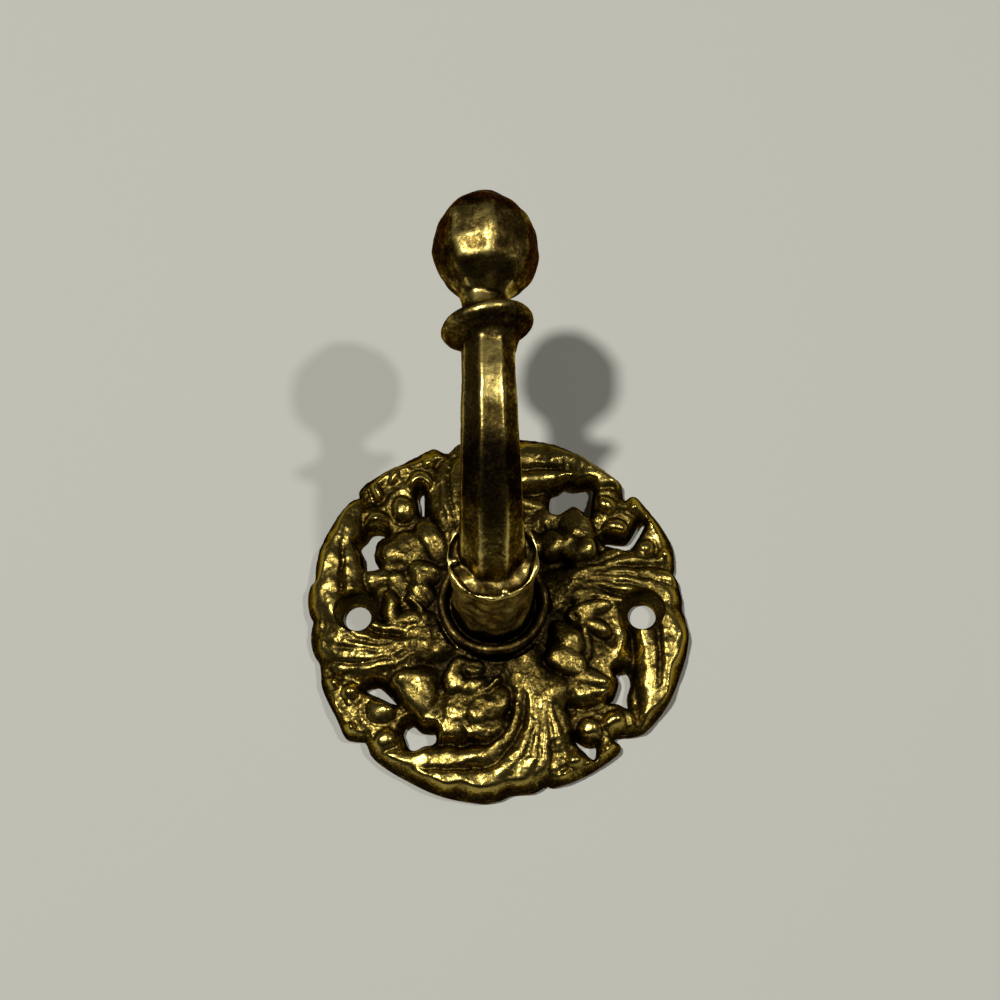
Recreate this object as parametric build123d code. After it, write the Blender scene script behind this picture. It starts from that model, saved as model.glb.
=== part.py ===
from build123d import *
import os
from math import acos, atan2, cos, degrees, pi, radians, sin

# A cast brass wall hook: a pierced round rosette, an octagonal arm that turns up to a faceted
# ball, and the screw from behind that holds the arm on the rosette.
# Lengths are millimetres. A bearing is in degrees, from the right (0) towards the top (90).
# Each piece is drawn lying on its back, x to the right, y up the wall and z out from the wall.

# Rosette casting
PLATE_RADIUS = 31.0
WEB = 2.5               # thickness between the motifs
RIM_EDGE = 1.5          # upright part of the casting's edge
RIM_SLOPE = 2.4         # width of the slope over it
RIM_CLIMB = 3.0         # height of that slope
RIM_SIDES = 36          # the edge and its slope are dressed in flats
QUARTERS = 4            # the ornament repeats in quarter turns
HUB_X = -1.0            # the arm's hole lies a little left of the middle
HUB_WALL = 3.2          # casting between the screw's head and the arm's foot
SEAT_STEP = 0.9         # upright edge round the foot's seat
SEAT_MARGIN = 0.7       # the foot overhangs its seat
SEAT_CLEARANCE = 0.3    # ornament stops this far from the foot
MOUND_RUN = 7.0         # slope from the foot of the step out to the web
MOUND_SIDES = 16        # the mound and the hollow behind it are hewn in flats
DISH_RIM = 17.0         # width of the flat ring that bears on the wall
SPOT_DEPTH = 0.3        # flat cut into the hollow's middle for the screw's head

# Wall screw holes, left and right of the hub
HOLE_SPACING = 46.4
HOLE_RADIUS = 2.3
HOLE_DEPTH = 1.2        # straight part, next to the wall
SINK_LEDGE = 1.3        # the recess for the screw's head is this much larger than the hole
SINK_DEPTH = 1.1        # cone between the hole and the recess

# Scroll leaf of one quarter, drawn round its scroll's centre
SCROLL_INSET = 14.7     # from the rim in to the scroll's centre
SCROLL_BEARING = 242.6
LEAF_RISE = 2.8         # innermost ridge above the web
LEAF_FALL = 0.4         # each ridge is this much lower than the one inside it
LEAF_TILT = 4.5         # the leaf climbs towards the hub
LEAF_SWEEP = (205, 394)
RIDGES = 3
RIDGE_START = 8.2       # inner edge of the innermost ridge, from the scroll's centre
RIDGE_PITCH = 4.2
RIDGE_DEPTH = 0.7
# Leaf's outline as bearing and distance: inner edge from the tip, lobes from the hub, past the rim
LEAF_INNER = [(216, 15.4), (230, 11.0), (257, 8.7), (286, 8.8), (327, 9.8), (357, 9.8), (383, 9.6)]
LEAF_LOBES = [(383, 15.6), (363, 17.0), (346, 18.4), (331, 19.5), (316, 20.2)]
LOBE_BULGE = 0.6
PAST_RIM = [(290, 25.0), (250, 22.0), (222, 19.0)]

# Flower round the same centre: bearing, distance, heading of the tip, length, width, rise
FLOWER_BED = (50, 1.3, 200, 21.0, 16.0, 2.5)
PETALS = [
    (174, 4.7, 275, 9.8, 6.8, 3.0),
    (146, 6.9, 205, 6.6, 5.0, 3.4),
    (94, 3.1, 257, 6.0, 4.6, 4.0),
    (43, 4.5, 235, 6.2, 4.4, 3.9),
    (343, 4.9, 243, 5.8, 3.5, 3.4),
    (0, 8.0, 270, 7.0, 3.3, 3.4),
    (328, 7.4, 188, 7.6, 4.2, 2.6),
]
PETAL_SIDES = 8
PETAL_ROWS = [0, 38, 68]    # latitudes of the rows of flats up a petal's side
PETAL_CURL = 5.0        # a petal climbs towards its tip

# Berries by the rim: bearing, inset from the rim, radius
BERRIES = [(317.4, 4.8, 1.8), (308.2, 6.4, 2.1), (297.0, 4.0, 1.4)]
BERRY_SINK = 0.2        # a berry's centre lies this far under the top of the web
BERRY_SIDES = 6         # a berry is cut as rows of small flats
BERRY_BANDS = 2
BERRY_TOP = 70.0        # latitude of the flat on its top

# Edge of the casting, one quarter
STRIP_SWEEP = (287, 310)
STRIP_INSET = 1.9       # ridge along the straight stretch of the edge
STRIP_WIDTH = 2.0
STRIP_RISE = 0.7
CHORD_BEARING = 297.5
CHORD_INSET = 0.9
NOTCHES = [(314.5, 3.0, 1.5), (285.3, 1.4, 0.8)]    # bearing, depth, half width at the rim
SCALLOPS = [270.0]
SCALLOP_RADIUS = 1.6
SCALLOP_DEPTH = 0.45

# Openings through the web, one quarter
WINDOW_PETAL = 0        # the window curls round the first petal's tip
WINDOW_GAP = 0.2        # web left between that tip and the window
WINDOW_WIDTH = 2.5
WINDOW_SWEEP = (222, 312)
WINDOW_SIDES = 4
SLIT_BERRY = 1          # the slit curls round the second berry
SLIT_GAP = 0.1
SLIT_WIDTH = 1.2
SLIT_SWEEP = (145, 265)
SLIT_SIDES = 3

# Arm: octagonal bar
ARM_REACH = 43.0        # upright bar's axis, out from the wall
ARM_LEAN = 1.0          # the upright leans a little to the left
BAR_WIDTH = 10.4        # across the flats, where the bend leaves the drum
BAR_TOP_WIDTH = 7.7     # across the flats, at the end of the bend and up to the collar
BEND_RADIUS = 25.0      # one long sweep from inside the drum up to the collar
BEND_SECTIONS = 4       # octagons that the sweep is drawn through

# Arm: foot and drum, turned round the stem
DRUM_LENGTH = 22.0      # from the seat to the cup's lip
CUP_GAP = 0.67          # hollow between the bar's corners and the lip
CUP_DEPTH = 2.2
LIP_WALL = 0.7
LIP_FLARE = 4.5         # height over which the drum opens to its lip
WAIST_CUT = 0.8         # the drum's waist is this much slimmer than its ends
FOOT_LEDGE = 1.95       # the foot stands out past the drum
FOOT_HEIGHT = 3.0
FOOT_ROUND = 0.9        # bevel round the foot's edge
GROOVE_DEPTH = 1.1      # between the foot and the drum

# Arm: collar, neck and ball, turned and faceted round the upright
COLLAR_HEIGHT = 31.2    # middle of the collar above the stem's axis
COLLAR_LEDGE = 3.0      # the collar stands out past the bar's flats
COLLAR_THICKNESS = 2.4
COLLAR_ROUND = 0.9      # bevels round the collar's edge
COVE_HEIGHT = 2.4       # hollow under the collar
COVE_SINK = 0.35        # the cove starts this far inside the bar's flats
NECK_RADIUS = 3.1
NECK_LENGTH = 5.0
NECK_FLARE = 0.8
BALL_RADIUS = 7.9
BALL_DRAW = 1.6         # the ball's top is drawn up this much, like an acorn's
BALL_LEDGE = 0.25       # the ball's lowest facets start this far outside the neck
FACET_ROWS = 5
TOP_LATITUDE = 85.0     # last row of facets closes here

# Fixing screw
SCREW_RADIUS = 2.5
SCREW_LENGTH = 13.0
HEAD_RADIUS = 4.2
HEAD_HEIGHT = 2.5
HEAD_CHAMFER = 0.6
HEAD_RECESS = 0.8       # the head stops this far short of the wall
HEAD_CLEARANCE = 0.6    # round the head
SLOT_WIDTH = 1.2
SLOT_DEPTH = 1.1
SCREW_CLEARANCE = 0.3   # round the shank in the rosette
THREAD_FIT = 0.05       # round the shank in the arm
BORE_SPARE = 1.5        # the arm's blind hole runs on past the screw's tip

# Worked out from the sizes above
SIDES = 8
BAR_CORNER = BAR_WIDTH / 2 / cos(pi / SIDES)
CUP_RADIUS = BAR_CORNER + CUP_GAP
LIP_RADIUS = CUP_RADIUS + LIP_WALL
FOOT_RADIUS = LIP_RADIUS + FOOT_LEDGE
COLLAR_RADIUS = BAR_TOP_WIDTH / 2 + COLLAR_LEDGE
SCREW_SEAT = HEAD_RECESS + HEAD_HEIGHT
SEAT_HEIGHT = SCREW_SEAT + HUB_WALL
SEAT_RADIUS = FOOT_RADIUS - SEAT_MARGIN
DISH_DEPTH = SCREW_SEAT - SPOT_DEPTH
DISH_RADIUS = PLATE_RADIUS - DISH_RIM
TALL = 4 * SEAT_HEIGHT
STEM = Pos(HUB_X, 0, 0) * Rot(0, 0, ARM_LEAN)
UPRIGHT = Plane(origin=(0, 0, ARM_REACH), x_dir=(1, 0, 0), z_dir=(0, 1, 0))


def polar(distance, bearing, centre=(0, 0)):
    turn = radians(bearing)
    return (centre[0] + distance * cos(turn), centre[1] + distance * sin(turn))


SCROLL_CENTRE = polar(PLATE_RADIUS - SCROLL_INSET, SCROLL_BEARING)


def round_scroll(bearing, distance):
    return polar(distance, bearing, SCROLL_CENTRE)


def quarters(piece):
    return [Rot(0, 0, 360 / QUARTERS * turn) * piece for turn in range(QUARTERS)]


def through(sketch):
    # Prism that runs right through the casting
    return Pos(0, 0, -TALL) * extrude(sketch, 2 * TALL)


def turned(*edges):
    # Body of revolution round z from a half section drawn in x and z
    return revolve(Plane.XZ * make_face(edges), Axis.Z)


def swept_section(section, centre, sweep):
    # Section drawn as distance and height, turned round an upright axis between two bearings
    start, end = sweep
    plane = Plane((*centre, 0), (*polar(1, start), 0), (*polar(1, start - 90), 0))
    return revolve(plane * section, Axis((*centre, 0), (0, 0, 1)), end - start)


def curled_cut(centre, inner, width, sweep, sides):
    # Crescent with straight edges round a centre, its two horns tapering to the inner edge
    start, end = sweep
    bearings = [start + (end - start) * side / sides for side in range(sides + 1)]
    edge = [polar(inner, bearing, centre) for bearing in bearings]
    back = [polar(inner + width, bearing, centre) for bearing in bearings[1:-1]]
    return make_face(Polyline(*edge, *reversed(back), close=True))


def polygon(reach, sides):
    # With eight sides, flats face left, right, front and back
    return RegularPolygon(reach, sides, major_radius=False, rotation=180 / sides)


def frustum(bottom, top, sides):
    # Tapered prism between two rows, each given as reach to the flats and height, drawn wide end down
    if top[0] > bottom[0]:
        return Rot(180, 0, 0) * frustum((top[0], -top[1]), (bottom[0], -bottom[1]), sides)
    taper = degrees(atan2(bottom[0] - top[0], top[1] - bottom[1]))
    return Pos(0, 0, bottom[1]) * extrude(polygon(bottom[0], sides), top[1] - bottom[1], taper=taper)


def faceted_dome(radius, sides, lowest, highest, bands, draw=0):
    # Ball cut into rows of flats between two latitudes, round its own centre, its upper half drawn up
    step = (highest - lowest) / bands
    rows = [polar(radius, lowest + row * step) for row in range(bands + 1)]
    rows = [(reach, level + draw * max(level, 0) / radius) for reach, level in rows]
    return Part() + [frustum(below, above, sides) for below, above in zip(rows, rows[1:])]


def leaf_outline():
    tips = [round_scroll(*point) for point in LEAF_INNER]
    inner = [ThreePointArc(*tips[first:first + 3]) for first in range(0, len(tips) - 1, 2)]
    valleys = [round_scroll(*point) for point in LEAF_LOBES]
    hub_end = Line(tips[-1], valleys[0])
    lobes = [SagittaArc(start, end, LOBE_BULGE) for start, end in zip(valleys, valleys[1:])]
    past_rim = Polyline(valleys[-1], *[round_scroll(*point) for point in PAST_RIM], tips[0])
    return make_face([*inner, hub_end, *lobes, past_rim])


def ridge_section():
    top = WEB + LEAF_RISE
    outline = [(RIDGE_START, 0)]
    for ridge in range(RIDGES):
        left = RIDGE_START + ridge * RIDGE_PITCH
        outline.append((left, top - RIDGE_DEPTH))
        outline.append((left + RIDGE_PITCH / 2, top))
        top -= LEAF_FALL
    right = RIDGE_START + RIDGES * RIDGE_PITCH
    outline += [(right, top - RIDGE_DEPTH), (right, 0)]
    return make_face(Polyline(*outline, close=True))


def scroll_leaf():
    ridges = swept_section(ridge_section(), SCROLL_CENTRE, LEAF_SWEEP)
    hinge = Axis((*SCROLL_CENTRE, 0), (*polar(1, SCROLL_BEARING + 90), 0))
    return ridges.rotate(hinge, LEAF_TILT) & through(leaf_outline())


def rim_strip():
    crest = PLATE_RADIUS - STRIP_INSET
    foot = [(crest - STRIP_WIDTH / 2, WEB), (crest - STRIP_WIDTH / 2, 0)]
    foot += [(crest + STRIP_WIDTH / 2, 0), (crest + STRIP_WIDTH / 2, WEB)]
    section = make_face(Polyline(*foot, (crest, WEB + STRIP_RISE), close=True))
    return swept_section(section, (0, 0), STRIP_SWEEP)


def petal(bearing, distance, heading, length, width, rise, curl=PETAL_CURL):
    # Oval boss with rows of flats that lean in towards its top, tipped up at its outer end
    turns = [2 * pi * side / PETAL_SIDES for side in range(PETAL_SIDES)]
    corners = [(length / 2 * cos(turn), width / 2 * sin(turn)) for turn in turns]
    oval = make_face(Polyline(*corners, close=True))
    rows = [polar(1, latitude) for latitude in PETAL_ROWS]
    boss = extrude(oval, WEB)
    for (low_reach, low), (high_reach, high) in zip(rows, rows[1:]):
        taper = degrees(atan2((low_reach - high_reach) * width / 2, (high - low) * rise))
        row = offset(oval, (low_reach - 1) * width / 2, kind=Kind.INTERSECTION)
        boss += Pos(0, 0, WEB + low * rise) * extrude(row, (high - low) * rise, taper=taper)
    place = Pos(*round_scroll(bearing, distance)) * Rot(0, 0, heading)
    return place * Pos(0, 0, WEB) * Rot(0, -curl, 0) * Pos(0, 0, -WEB) * boss


def berry(bearing, inset, radius):
    place = Pos(*polar(PLATE_RADIUS - inset, bearing), WEB - BERRY_SINK)
    return place * faceted_dome(radius, BERRY_SIDES, 0, BERRY_TOP, BERRY_BANDS)


def rim_cuts():
    # Straight stretch, notches and scallops of one quarter's edge
    chord = Pos(2 * PLATE_RADIUS - CHORD_INSET, 0) * Rectangle(2 * PLATE_RADIUS, 2 * PLATE_RADIUS)
    cuts = [Rot(0, 0, CHORD_BEARING) * chord]
    for bearing, depth, half_width in NOTCHES:
        mouth = PLATE_RADIUS + depth
        corners = [(PLATE_RADIUS - depth, 0), (mouth, 2 * half_width), (mouth, -2 * half_width)]
        cuts.append(Rot(0, 0, bearing) * make_face(Polyline(*corners, close=True)))
    for bearing in SCALLOPS:
        place = polar(PLATE_RADIUS + SCALLOP_RADIUS - SCALLOP_DEPTH, bearing)
        cuts.append(Pos(*place) * Circle(SCALLOP_RADIUS))
    return cuts


def openings():
    bearing, distance, _, length, *_ = PETALS[WINDOW_PETAL]
    petal_middle = round_scroll(bearing, distance)
    tip_radius = length / 2 + WINDOW_GAP
    window = curled_cut(petal_middle, tip_radius, WINDOW_WIDTH, WINDOW_SWEEP, WINDOW_SIDES)
    bearing, inset, radius = BERRIES[SLIT_BERRY]
    slit_centre = polar(PLATE_RADIUS - inset, bearing)
    slit = curled_cut(slit_centre, radius + SLIT_GAP, SLIT_WIDTH, SLIT_SWEEP, SLIT_SIDES)
    return [window, slit]


def wall_screw_hole():
    recess = HOLE_RADIUS + SINK_LEDGE
    cone_top = HOLE_DEPTH + SINK_DEPTH
    section = [(0, -TALL), (HOLE_RADIUS, -TALL), (HOLE_RADIUS, HOLE_DEPTH)]
    section += [(recess, cone_top), (recess, TALL), (0, TALL)]
    return turned(Polyline(*section, close=True))


def mound():
    # Rise from the web to the foot's seat
    skirt = frustum((SEAT_RADIUS + MOUND_RUN, WEB), (SEAT_RADIUS, SEAT_HEIGHT - SEAT_STEP), MOUND_SIDES)
    return Pos(HUB_X, 0, 0) * (skirt + extrude(Circle(SEAT_RADIUS), SEAT_HEIGHT))


def hub_cuts():
    # Foot's room in front, and behind it the hollow back, the head's spot face and the shank's hole
    spot_radius = HEAD_RADIUS + HEAD_CLEARANCE
    hollow = frustum((DISH_RADIUS, 0), (spot_radius, DISH_DEPTH), MOUND_SIDES)
    foot_room = Pos(0, 0, SEAT_HEIGHT) * extrude(Circle(FOOT_RADIUS + SEAT_CLEARANCE), TALL)
    spot_face = Pos(0, 0, SCREW_SEAT) * extrude(Circle(spot_radius), -TALL)
    shank_hole = through(Circle(SCREW_RADIUS + SCREW_CLEARANCE))
    return [Pos(HUB_X, 0, 0) * cut for cut in (hollow, foot_room, spot_face, shank_hole)]


def rim_room():
    # Room for the casting: its edge stands upright from the wall and then slopes inwards in flats
    slope_end = PLATE_RADIUS - RIM_SLOPE
    slope_top = RIM_EDGE + RIM_CLIMB
    edge = extrude(polygon(PLATE_RADIUS, RIM_SIDES), RIM_EDGE)
    slope = frustum((PLATE_RADIUS, RIM_EDGE), (slope_end, slope_top), RIM_SIDES)
    inside = Pos(0, 0, slope_top) * extrude(polygon(slope_end, RIM_SIDES), TALL)
    return edge + slope + inside


def rosette_plate():
    motifs = [scroll_leaf(), rim_strip(), petal(*FLOWER_BED, curl=0)]
    motifs += [petal(*sizes) for sizes in PETALS]
    motifs += [berry(*sizes) for sizes in BERRIES]
    plate = extrude(Circle(PLATE_RADIUS), WEB) + mound()
    plate += [copy for motif in motifs for copy in quarters(motif)]
    cuts = [through(copy) for cut in rim_cuts() + openings() for copy in quarters(cut)]
    cuts += [Pos(side * HOLE_SPACING / 2, 0, 0) * wall_screw_hole() for side in (-1, 1)]
    cuts += hub_cuts()
    return (plate & rim_room()) - cuts


def foot_and_drum():
    top = SEAT_HEIGHT + FOOT_HEIGHT
    lip = SEAT_HEIGHT + DRUM_LENGTH
    waist = LIP_RADIUS - WAIST_CUT
    floor = lip - CUP_DEPTH
    foot = [(FOOT_RADIUS, SEAT_HEIGHT), (FOOT_RADIUS, top - FOOT_ROUND), (FOOT_RADIUS - FOOT_ROUND, top)]
    drum = [(LIP_RADIUS, top - GROOVE_DEPTH), (waist, top + WAIST_CUT), (waist, lip - LIP_FLARE)]
    cup = [(LIP_RADIUS, lip), (CUP_RADIUS, lip), (CUP_RADIUS, floor), (0, floor)]
    return turned(Polyline((0, SEAT_HEIGHT), *foot, *drum, *cup, close=True))


def bar():
    # Octagons along a quarter turn, from the stem's axis to the upright, each a little narrower
    bend_start = ARM_REACH - BEND_RADIUS
    sections = []
    for step in range(BEND_SECTIONS + 1):
        share = step / BEND_SECTIONS
        turn = share * pi / 2
        middle = (0, BEND_RADIUS * (1 - cos(turn)), bend_start + BEND_RADIUS * sin(turn))
        width = BAR_WIDTH + (BAR_TOP_WIDTH - BAR_WIDTH) * share
        plane = Plane(middle, (1, 0, 0), (0, sin(turn), cos(turn)))
        sections.append(plane * polygon(width / 2, SIDES))
    root_start = SEAT_HEIGHT + DRUM_LENGTH / 4
    root = Pos(0, 0, root_start) * extrude(polygon(BAR_WIDTH / 2, SIDES), bend_start - root_start)
    top = Pos(0, 0, BEND_RADIUS) * extrude(polygon(BAR_TOP_WIDTH / 2, SIDES), COLLAR_HEIGHT - BEND_RADIUS)
    return root + loft(sections) + UPRIGHT * top


def collar_and_neck():
    under = COLLAR_HEIGHT - COLLAR_THICKNESS / 2
    over = COLLAR_HEIGHT + COLLAR_THICKNESS / 2
    cove = (BAR_TOP_WIDTH / 2 - COVE_SINK, under - COVE_HEIGHT)
    face = COLLAR_RADIUS - COLLAR_ROUND
    collar = [(face, under), (COLLAR_RADIUS, under + COLLAR_ROUND)]
    collar += [(COLLAR_RADIUS, over - COLLAR_ROUND), (face, over)]
    neck = [(NECK_RADIUS + NECK_FLARE, over + NECK_FLARE), (NECK_RADIUS, over + NECK_LENGTH / 2)]
    top = over + NECK_LENGTH
    return turned(Polyline((0, cove[1]), cove, *collar, *neck, (NECK_RADIUS, top), (0, top), close=True))


def faceted_ball():
    lowest = -degrees(acos((NECK_RADIUS + BALL_LEDGE) / BALL_RADIUS))
    centre = COLLAR_HEIGHT + COLLAR_THICKNESS / 2 + NECK_LENGTH - BALL_RADIUS * sin(radians(lowest))
    return Pos(0, 0, centre) * faceted_dome(BALL_RADIUS, SIDES, lowest, TOP_LATITUDE, FACET_ROWS, BALL_DRAW)


def hook_arm():
    arm = foot_and_drum() + bar() + UPRIGHT * (collar_and_neck() + faceted_ball())
    tip = SCREW_SEAT + SCREW_LENGTH + BORE_SPARE
    bore = extrude(Circle(SCREW_RADIUS + THREAD_FIT), tip)
    return STEM * (arm - bore)


def fixing_screw():
    tip = SCREW_SEAT + SCREW_LENGTH
    section = [(0, HEAD_RECESS), (HEAD_RADIUS - HEAD_CHAMFER, HEAD_RECESS)]
    section += [(HEAD_RADIUS, HEAD_RECESS + HEAD_CHAMFER), (HEAD_RADIUS, SCREW_SEAT)]
    section += [(SCREW_RADIUS, SCREW_SEAT), (SCREW_RADIUS, tip), (0, tip)]
    slot = Pos(0, 0, HEAD_RECESS) * Box(3 * HEAD_RADIUS, SLOT_WIDTH, 2 * SLOT_DEPTH)
    return STEM * (turned(Polyline(*section, close=True)) - slot)


# The finished pieces stand against the wall: z up, the wall at y = 0 and the hook towards -y
os.makedirs("parts", exist_ok=True)
for name, piece in [
    ("rosette_plate", rosette_plate()),
    ("hook_arm", hook_arm()),
    ("fixing_screw", fixing_screw()),
]:
    export_step(Rot(90, 0, 0) * piece, f"parts/{name}.step")
    print(name, len(piece.solids()), "solid", round(piece.volume, 1), "mm3")
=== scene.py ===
# %% [markdown]
# # A cast brass wall hook
# The hook is three pieces: a pierced rosette cast in brass, an arm with an eight-sided bar that turns
# up to a collar and a faceted ball, and a screw from behind that holds the two together.
# The solids give the sizes. Here the rosette gets its carved relief, the arm its soft cast edges and
# hand-filed facets, and the brass its patina.

# %% Load the solids
import math

import bmesh
import bpy
import numpy as np
from mathutils import Matrix, Vector, noise


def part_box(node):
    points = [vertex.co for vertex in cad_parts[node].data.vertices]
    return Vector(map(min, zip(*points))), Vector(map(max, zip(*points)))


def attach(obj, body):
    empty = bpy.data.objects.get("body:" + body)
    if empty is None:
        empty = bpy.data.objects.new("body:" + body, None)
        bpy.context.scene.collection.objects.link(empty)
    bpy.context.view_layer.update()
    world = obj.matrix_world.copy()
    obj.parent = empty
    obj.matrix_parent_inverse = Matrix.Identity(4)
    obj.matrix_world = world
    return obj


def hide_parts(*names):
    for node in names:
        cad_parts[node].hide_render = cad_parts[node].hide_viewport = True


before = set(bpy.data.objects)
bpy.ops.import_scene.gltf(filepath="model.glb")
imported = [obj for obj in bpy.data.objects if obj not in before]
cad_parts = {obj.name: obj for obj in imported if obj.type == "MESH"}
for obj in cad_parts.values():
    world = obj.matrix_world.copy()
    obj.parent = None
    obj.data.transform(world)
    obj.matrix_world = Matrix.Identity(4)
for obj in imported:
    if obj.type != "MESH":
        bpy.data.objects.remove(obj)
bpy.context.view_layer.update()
MM = 0.001
plate_low, plate_high = [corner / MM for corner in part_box("rosette_plate")]
arm_top = (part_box("hook_arm")[1] / MM).z

# %% [markdown]
# ## From millimetres to a finished piece
# Everything below is modelled in millimetres, in the frame of the solids: x to the right, z up the
# wall and -y out into the room. One function turns a mesh to metres, makes it a piece that rides with
# the hook and hides the solid it stands for.

# %% Turn a mesh into a piece
PLATE_RADIUS = (plate_high.x - plate_low.x) / 2
SEAT_HEIGHT = -plate_low.y
HUB_X = -1.0
SMOOTH_ANGLE = math.radians(50)


def piece_from(mesh, name, node):
    mesh.transform(Matrix.Scale(MM, 4))
    mesh.shade_smooth()
    mesh.set_sharp_from_angle(angle=SMOOTH_ANGLE)
    mesh.name = name
    mesh.materials.clear()
    piece = bpy.data.objects.new(name, mesh)
    bpy.context.collection.objects.link(piece)
    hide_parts(node)
    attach(piece, "root")
    print(name, len(mesh.vertices), "points,", sum(len(p.vertices) - 2 for p in mesh.polygons), "triangles")
    return piece


def mesh_from(bm, name):
    mesh = bpy.data.meshes.new(name)
    bm.to_mesh(mesh)
    bm.free()
    return mesh


def with_modifier(mesh, kind, **settings):
    # Applies one modifier to a mesh and gives back the new mesh
    carrier = bpy.data.objects.new(mesh.name, mesh)
    bpy.context.collection.objects.link(carrier)
    modifier = carrier.modifiers.new(kind, kind)
    for setting, value in settings.items():
        setattr(modifier, setting, value)
    graph = bpy.context.evaluated_depsgraph_get()
    result = bpy.data.meshes.new_from_object(carrier.evaluated_get(graph))
    bpy.data.objects.remove(carrier)
    return result


def combine(mesh, other, operation):
    # Solid union, difference or intersection of two closed meshes
    tool = bpy.data.objects.new(other.name, other)
    bpy.context.collection.objects.link(tool)
    result = with_modifier(mesh, "BOOLEAN", object=tool, operation=operation, solver="MANIFOLD")
    bpy.data.objects.remove(tool)
    return result


# %% [markdown]
# ## The rosette's places
# A sand casting has no undercuts, so its relief can be a sheet of points, each raised to its own
# height. The ornament repeats four times, but every quarter was modelled one by one and differs.
# Places are read off a front view, turned so that the quarter lies at the bottom: u to the right,
# v up. The view was squared to a plane 3 mm off the wall, so a spot at another height is slid back
# along its line of sight.

# %% Helpers for places
VIEW_POINT = np.array([0.2, -109.2])    # foot of the eye on the wall
VIEW_DISTANCE = 308.9
VIEW_PLANE = 3.0
QUARTERS = {"bottom": 0, "right": 1, "top": 2, "left": 3}


def turned(points, quarter):
    # Quarter turns about the plate's middle
    points = np.array(points, float)
    for _ in range(QUARTERS[quarter]):
        points = np.stack([-points[..., 1], points[..., 0]], -1)
    return points


def in_place(points, heights, quarter):
    # A reading in a quarter's own u and v becomes its true x and z on the plate
    seen = turned(points, quarter)
    share = (VIEW_DISTANCE - np.array(heights, float)) / (VIEW_DISTANCE - VIEW_PLANE)
    return VIEW_POINT + (seen - VIEW_POINT) * share[..., None]


def at_level(points, level, quarter):
    return in_place(points, np.full(len(points), level), quarter)


def smooth_line(points, steps):
    # Smooth curve through a few points, each with any number of values
    points = np.array(points, float)
    ends = np.vstack([2 * points[0] - points[1], points, 2 * points[-1] - points[-2]])
    share = np.linspace(0, 1, steps, endpoint=False)[:, None]
    spans = []
    for before, start, end, after in zip(ends, ends[1:], ends[2:], ends[3:]):
        bend = (2 * before - 5 * start + 4 * end - after) * share**2
        turn = (3 * start - before - 3 * end + after) * share**3
        spans.append(start + 0.5 * ((end - before) * share + bend + turn))
    return np.vstack(spans + [points[-1:]])


print("quarters:", list(QUARTERS), "seen from", VIEW_DISTANCE, "mm off the wall")

# %% [markdown]
# ## The sheet
# The sheet is a fine square grid. Strokes raise it: a dome makes a petal or a berry, a ridge follows a
# line and makes a leaf's rib, a fold or the rolled edge. Where strokes meet, the higher one wins, with
# a small fillet between them, as in a casting. The strokes are drawn on a grid whose points have
# wandered a little, which makes every edge slightly unsteady, as a modeller's tool leaves it.

# %% Make the sheet and its strokes
GRID_HALF = PLATE_RADIUS + 1.5
GRID_CELLS = 330
FILLET = 0.45
RIDGE_DROP = 1.2        # a ridge has fallen by this at its half width
RIDGE_FLATNESS, PETAL_FLATNESS = 2.5, 1.25
TAPER_START = -0.5      # a dome's taper starts this far behind its middle, in half lengths
CREASE_WIDTH, CREASE_START = 0.25, 0.6
STROKE_REACH = 3        # a line's stroke is worked out this many half widths off
WEB = 2.1               # sheet's height before the first stroke
WANDER_SEED, WANDER_SIZE, WANDER = 8, 2.6, 0.42     # the modeller's edges wander by this

sheet = bmesh.new()
bmesh.ops.create_grid(sheet, x_segments=GRID_CELLS, y_segments=GRID_CELLS, size=GRID_HALF)
sheet_points = np.array([vert.co[:2] for vert in sheet.verts])
true_x, true_z = sheet_points.T
noise.seed_set(WANDER_SEED)
strays = np.array([noise.noise_vector(Vector((*point, 0)) / WANDER_SIZE) for point in sheet_points])
x, z = (sheet_points + WANDER * strays[:, :2]).T
height = np.full(len(x), WEB)


def merge(old, new):
    return 0.5 * (old + new + np.sqrt((old - new) ** 2 + FILLET**2))


def raise_dome(middle, heading, half_length, half_width, top, floor, taper=0.0, crease=0.0,
               flatness=PETAL_FLATNESS):
    # Oval hump that narrows towards its tip; the flatter it is, the steeper its sides
    global height
    turn = math.radians(heading)
    along = ((x - middle[0]) * math.cos(turn) + (z - middle[1]) * math.sin(turn)) / half_length
    across = ((z - middle[1]) * math.cos(turn) - (x - middle[0]) * math.sin(turn)) / half_width
    across /= 1 - taper * np.clip(along, TAPER_START, 1)
    reach = along**2 + across**2
    inside = reach < 1
    rise = (top - floor) * np.sqrt(1 - reach[inside] ** flatness)
    fade = np.clip(CREASE_START + along[inside], 0, 1)
    rise -= crease * np.exp(-((across[inside] / CREASE_WIDTH) ** 2)) * fade
    height[inside] = merge(height[inside], floor + rise)


def line_gaps(line):
    # For the points near a line of x, z, height and half width: which they are, and for each stretch of
    # the line how far off they lie, with the line's height and half width there
    low = line[:, :2].min(0) - STROKE_REACH * line[:, 3].max()
    high = line[:, :2].max(0) + STROKE_REACH * line[:, 3].max()
    near = (x > low[0]) & (x < high[0]) & (z > low[1]) & (z < high[1])
    px, pz = x[near], z[near]
    stretches = []
    for start, end in zip(line, line[1:]):
        run = end - start
        share = ((px - start[0]) * run[0] + (pz - start[1]) * run[1]) / (run[0] ** 2 + run[1] ** 2)
        share = np.clip(share, 0, 1)
        gap = np.hypot(px - start[0] - share * run[0], pz - start[1] - share * run[1])
        stretches.append((gap, start[2] + share * run[2], start[3] + share * run[3]))
    return near, stretches


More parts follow.
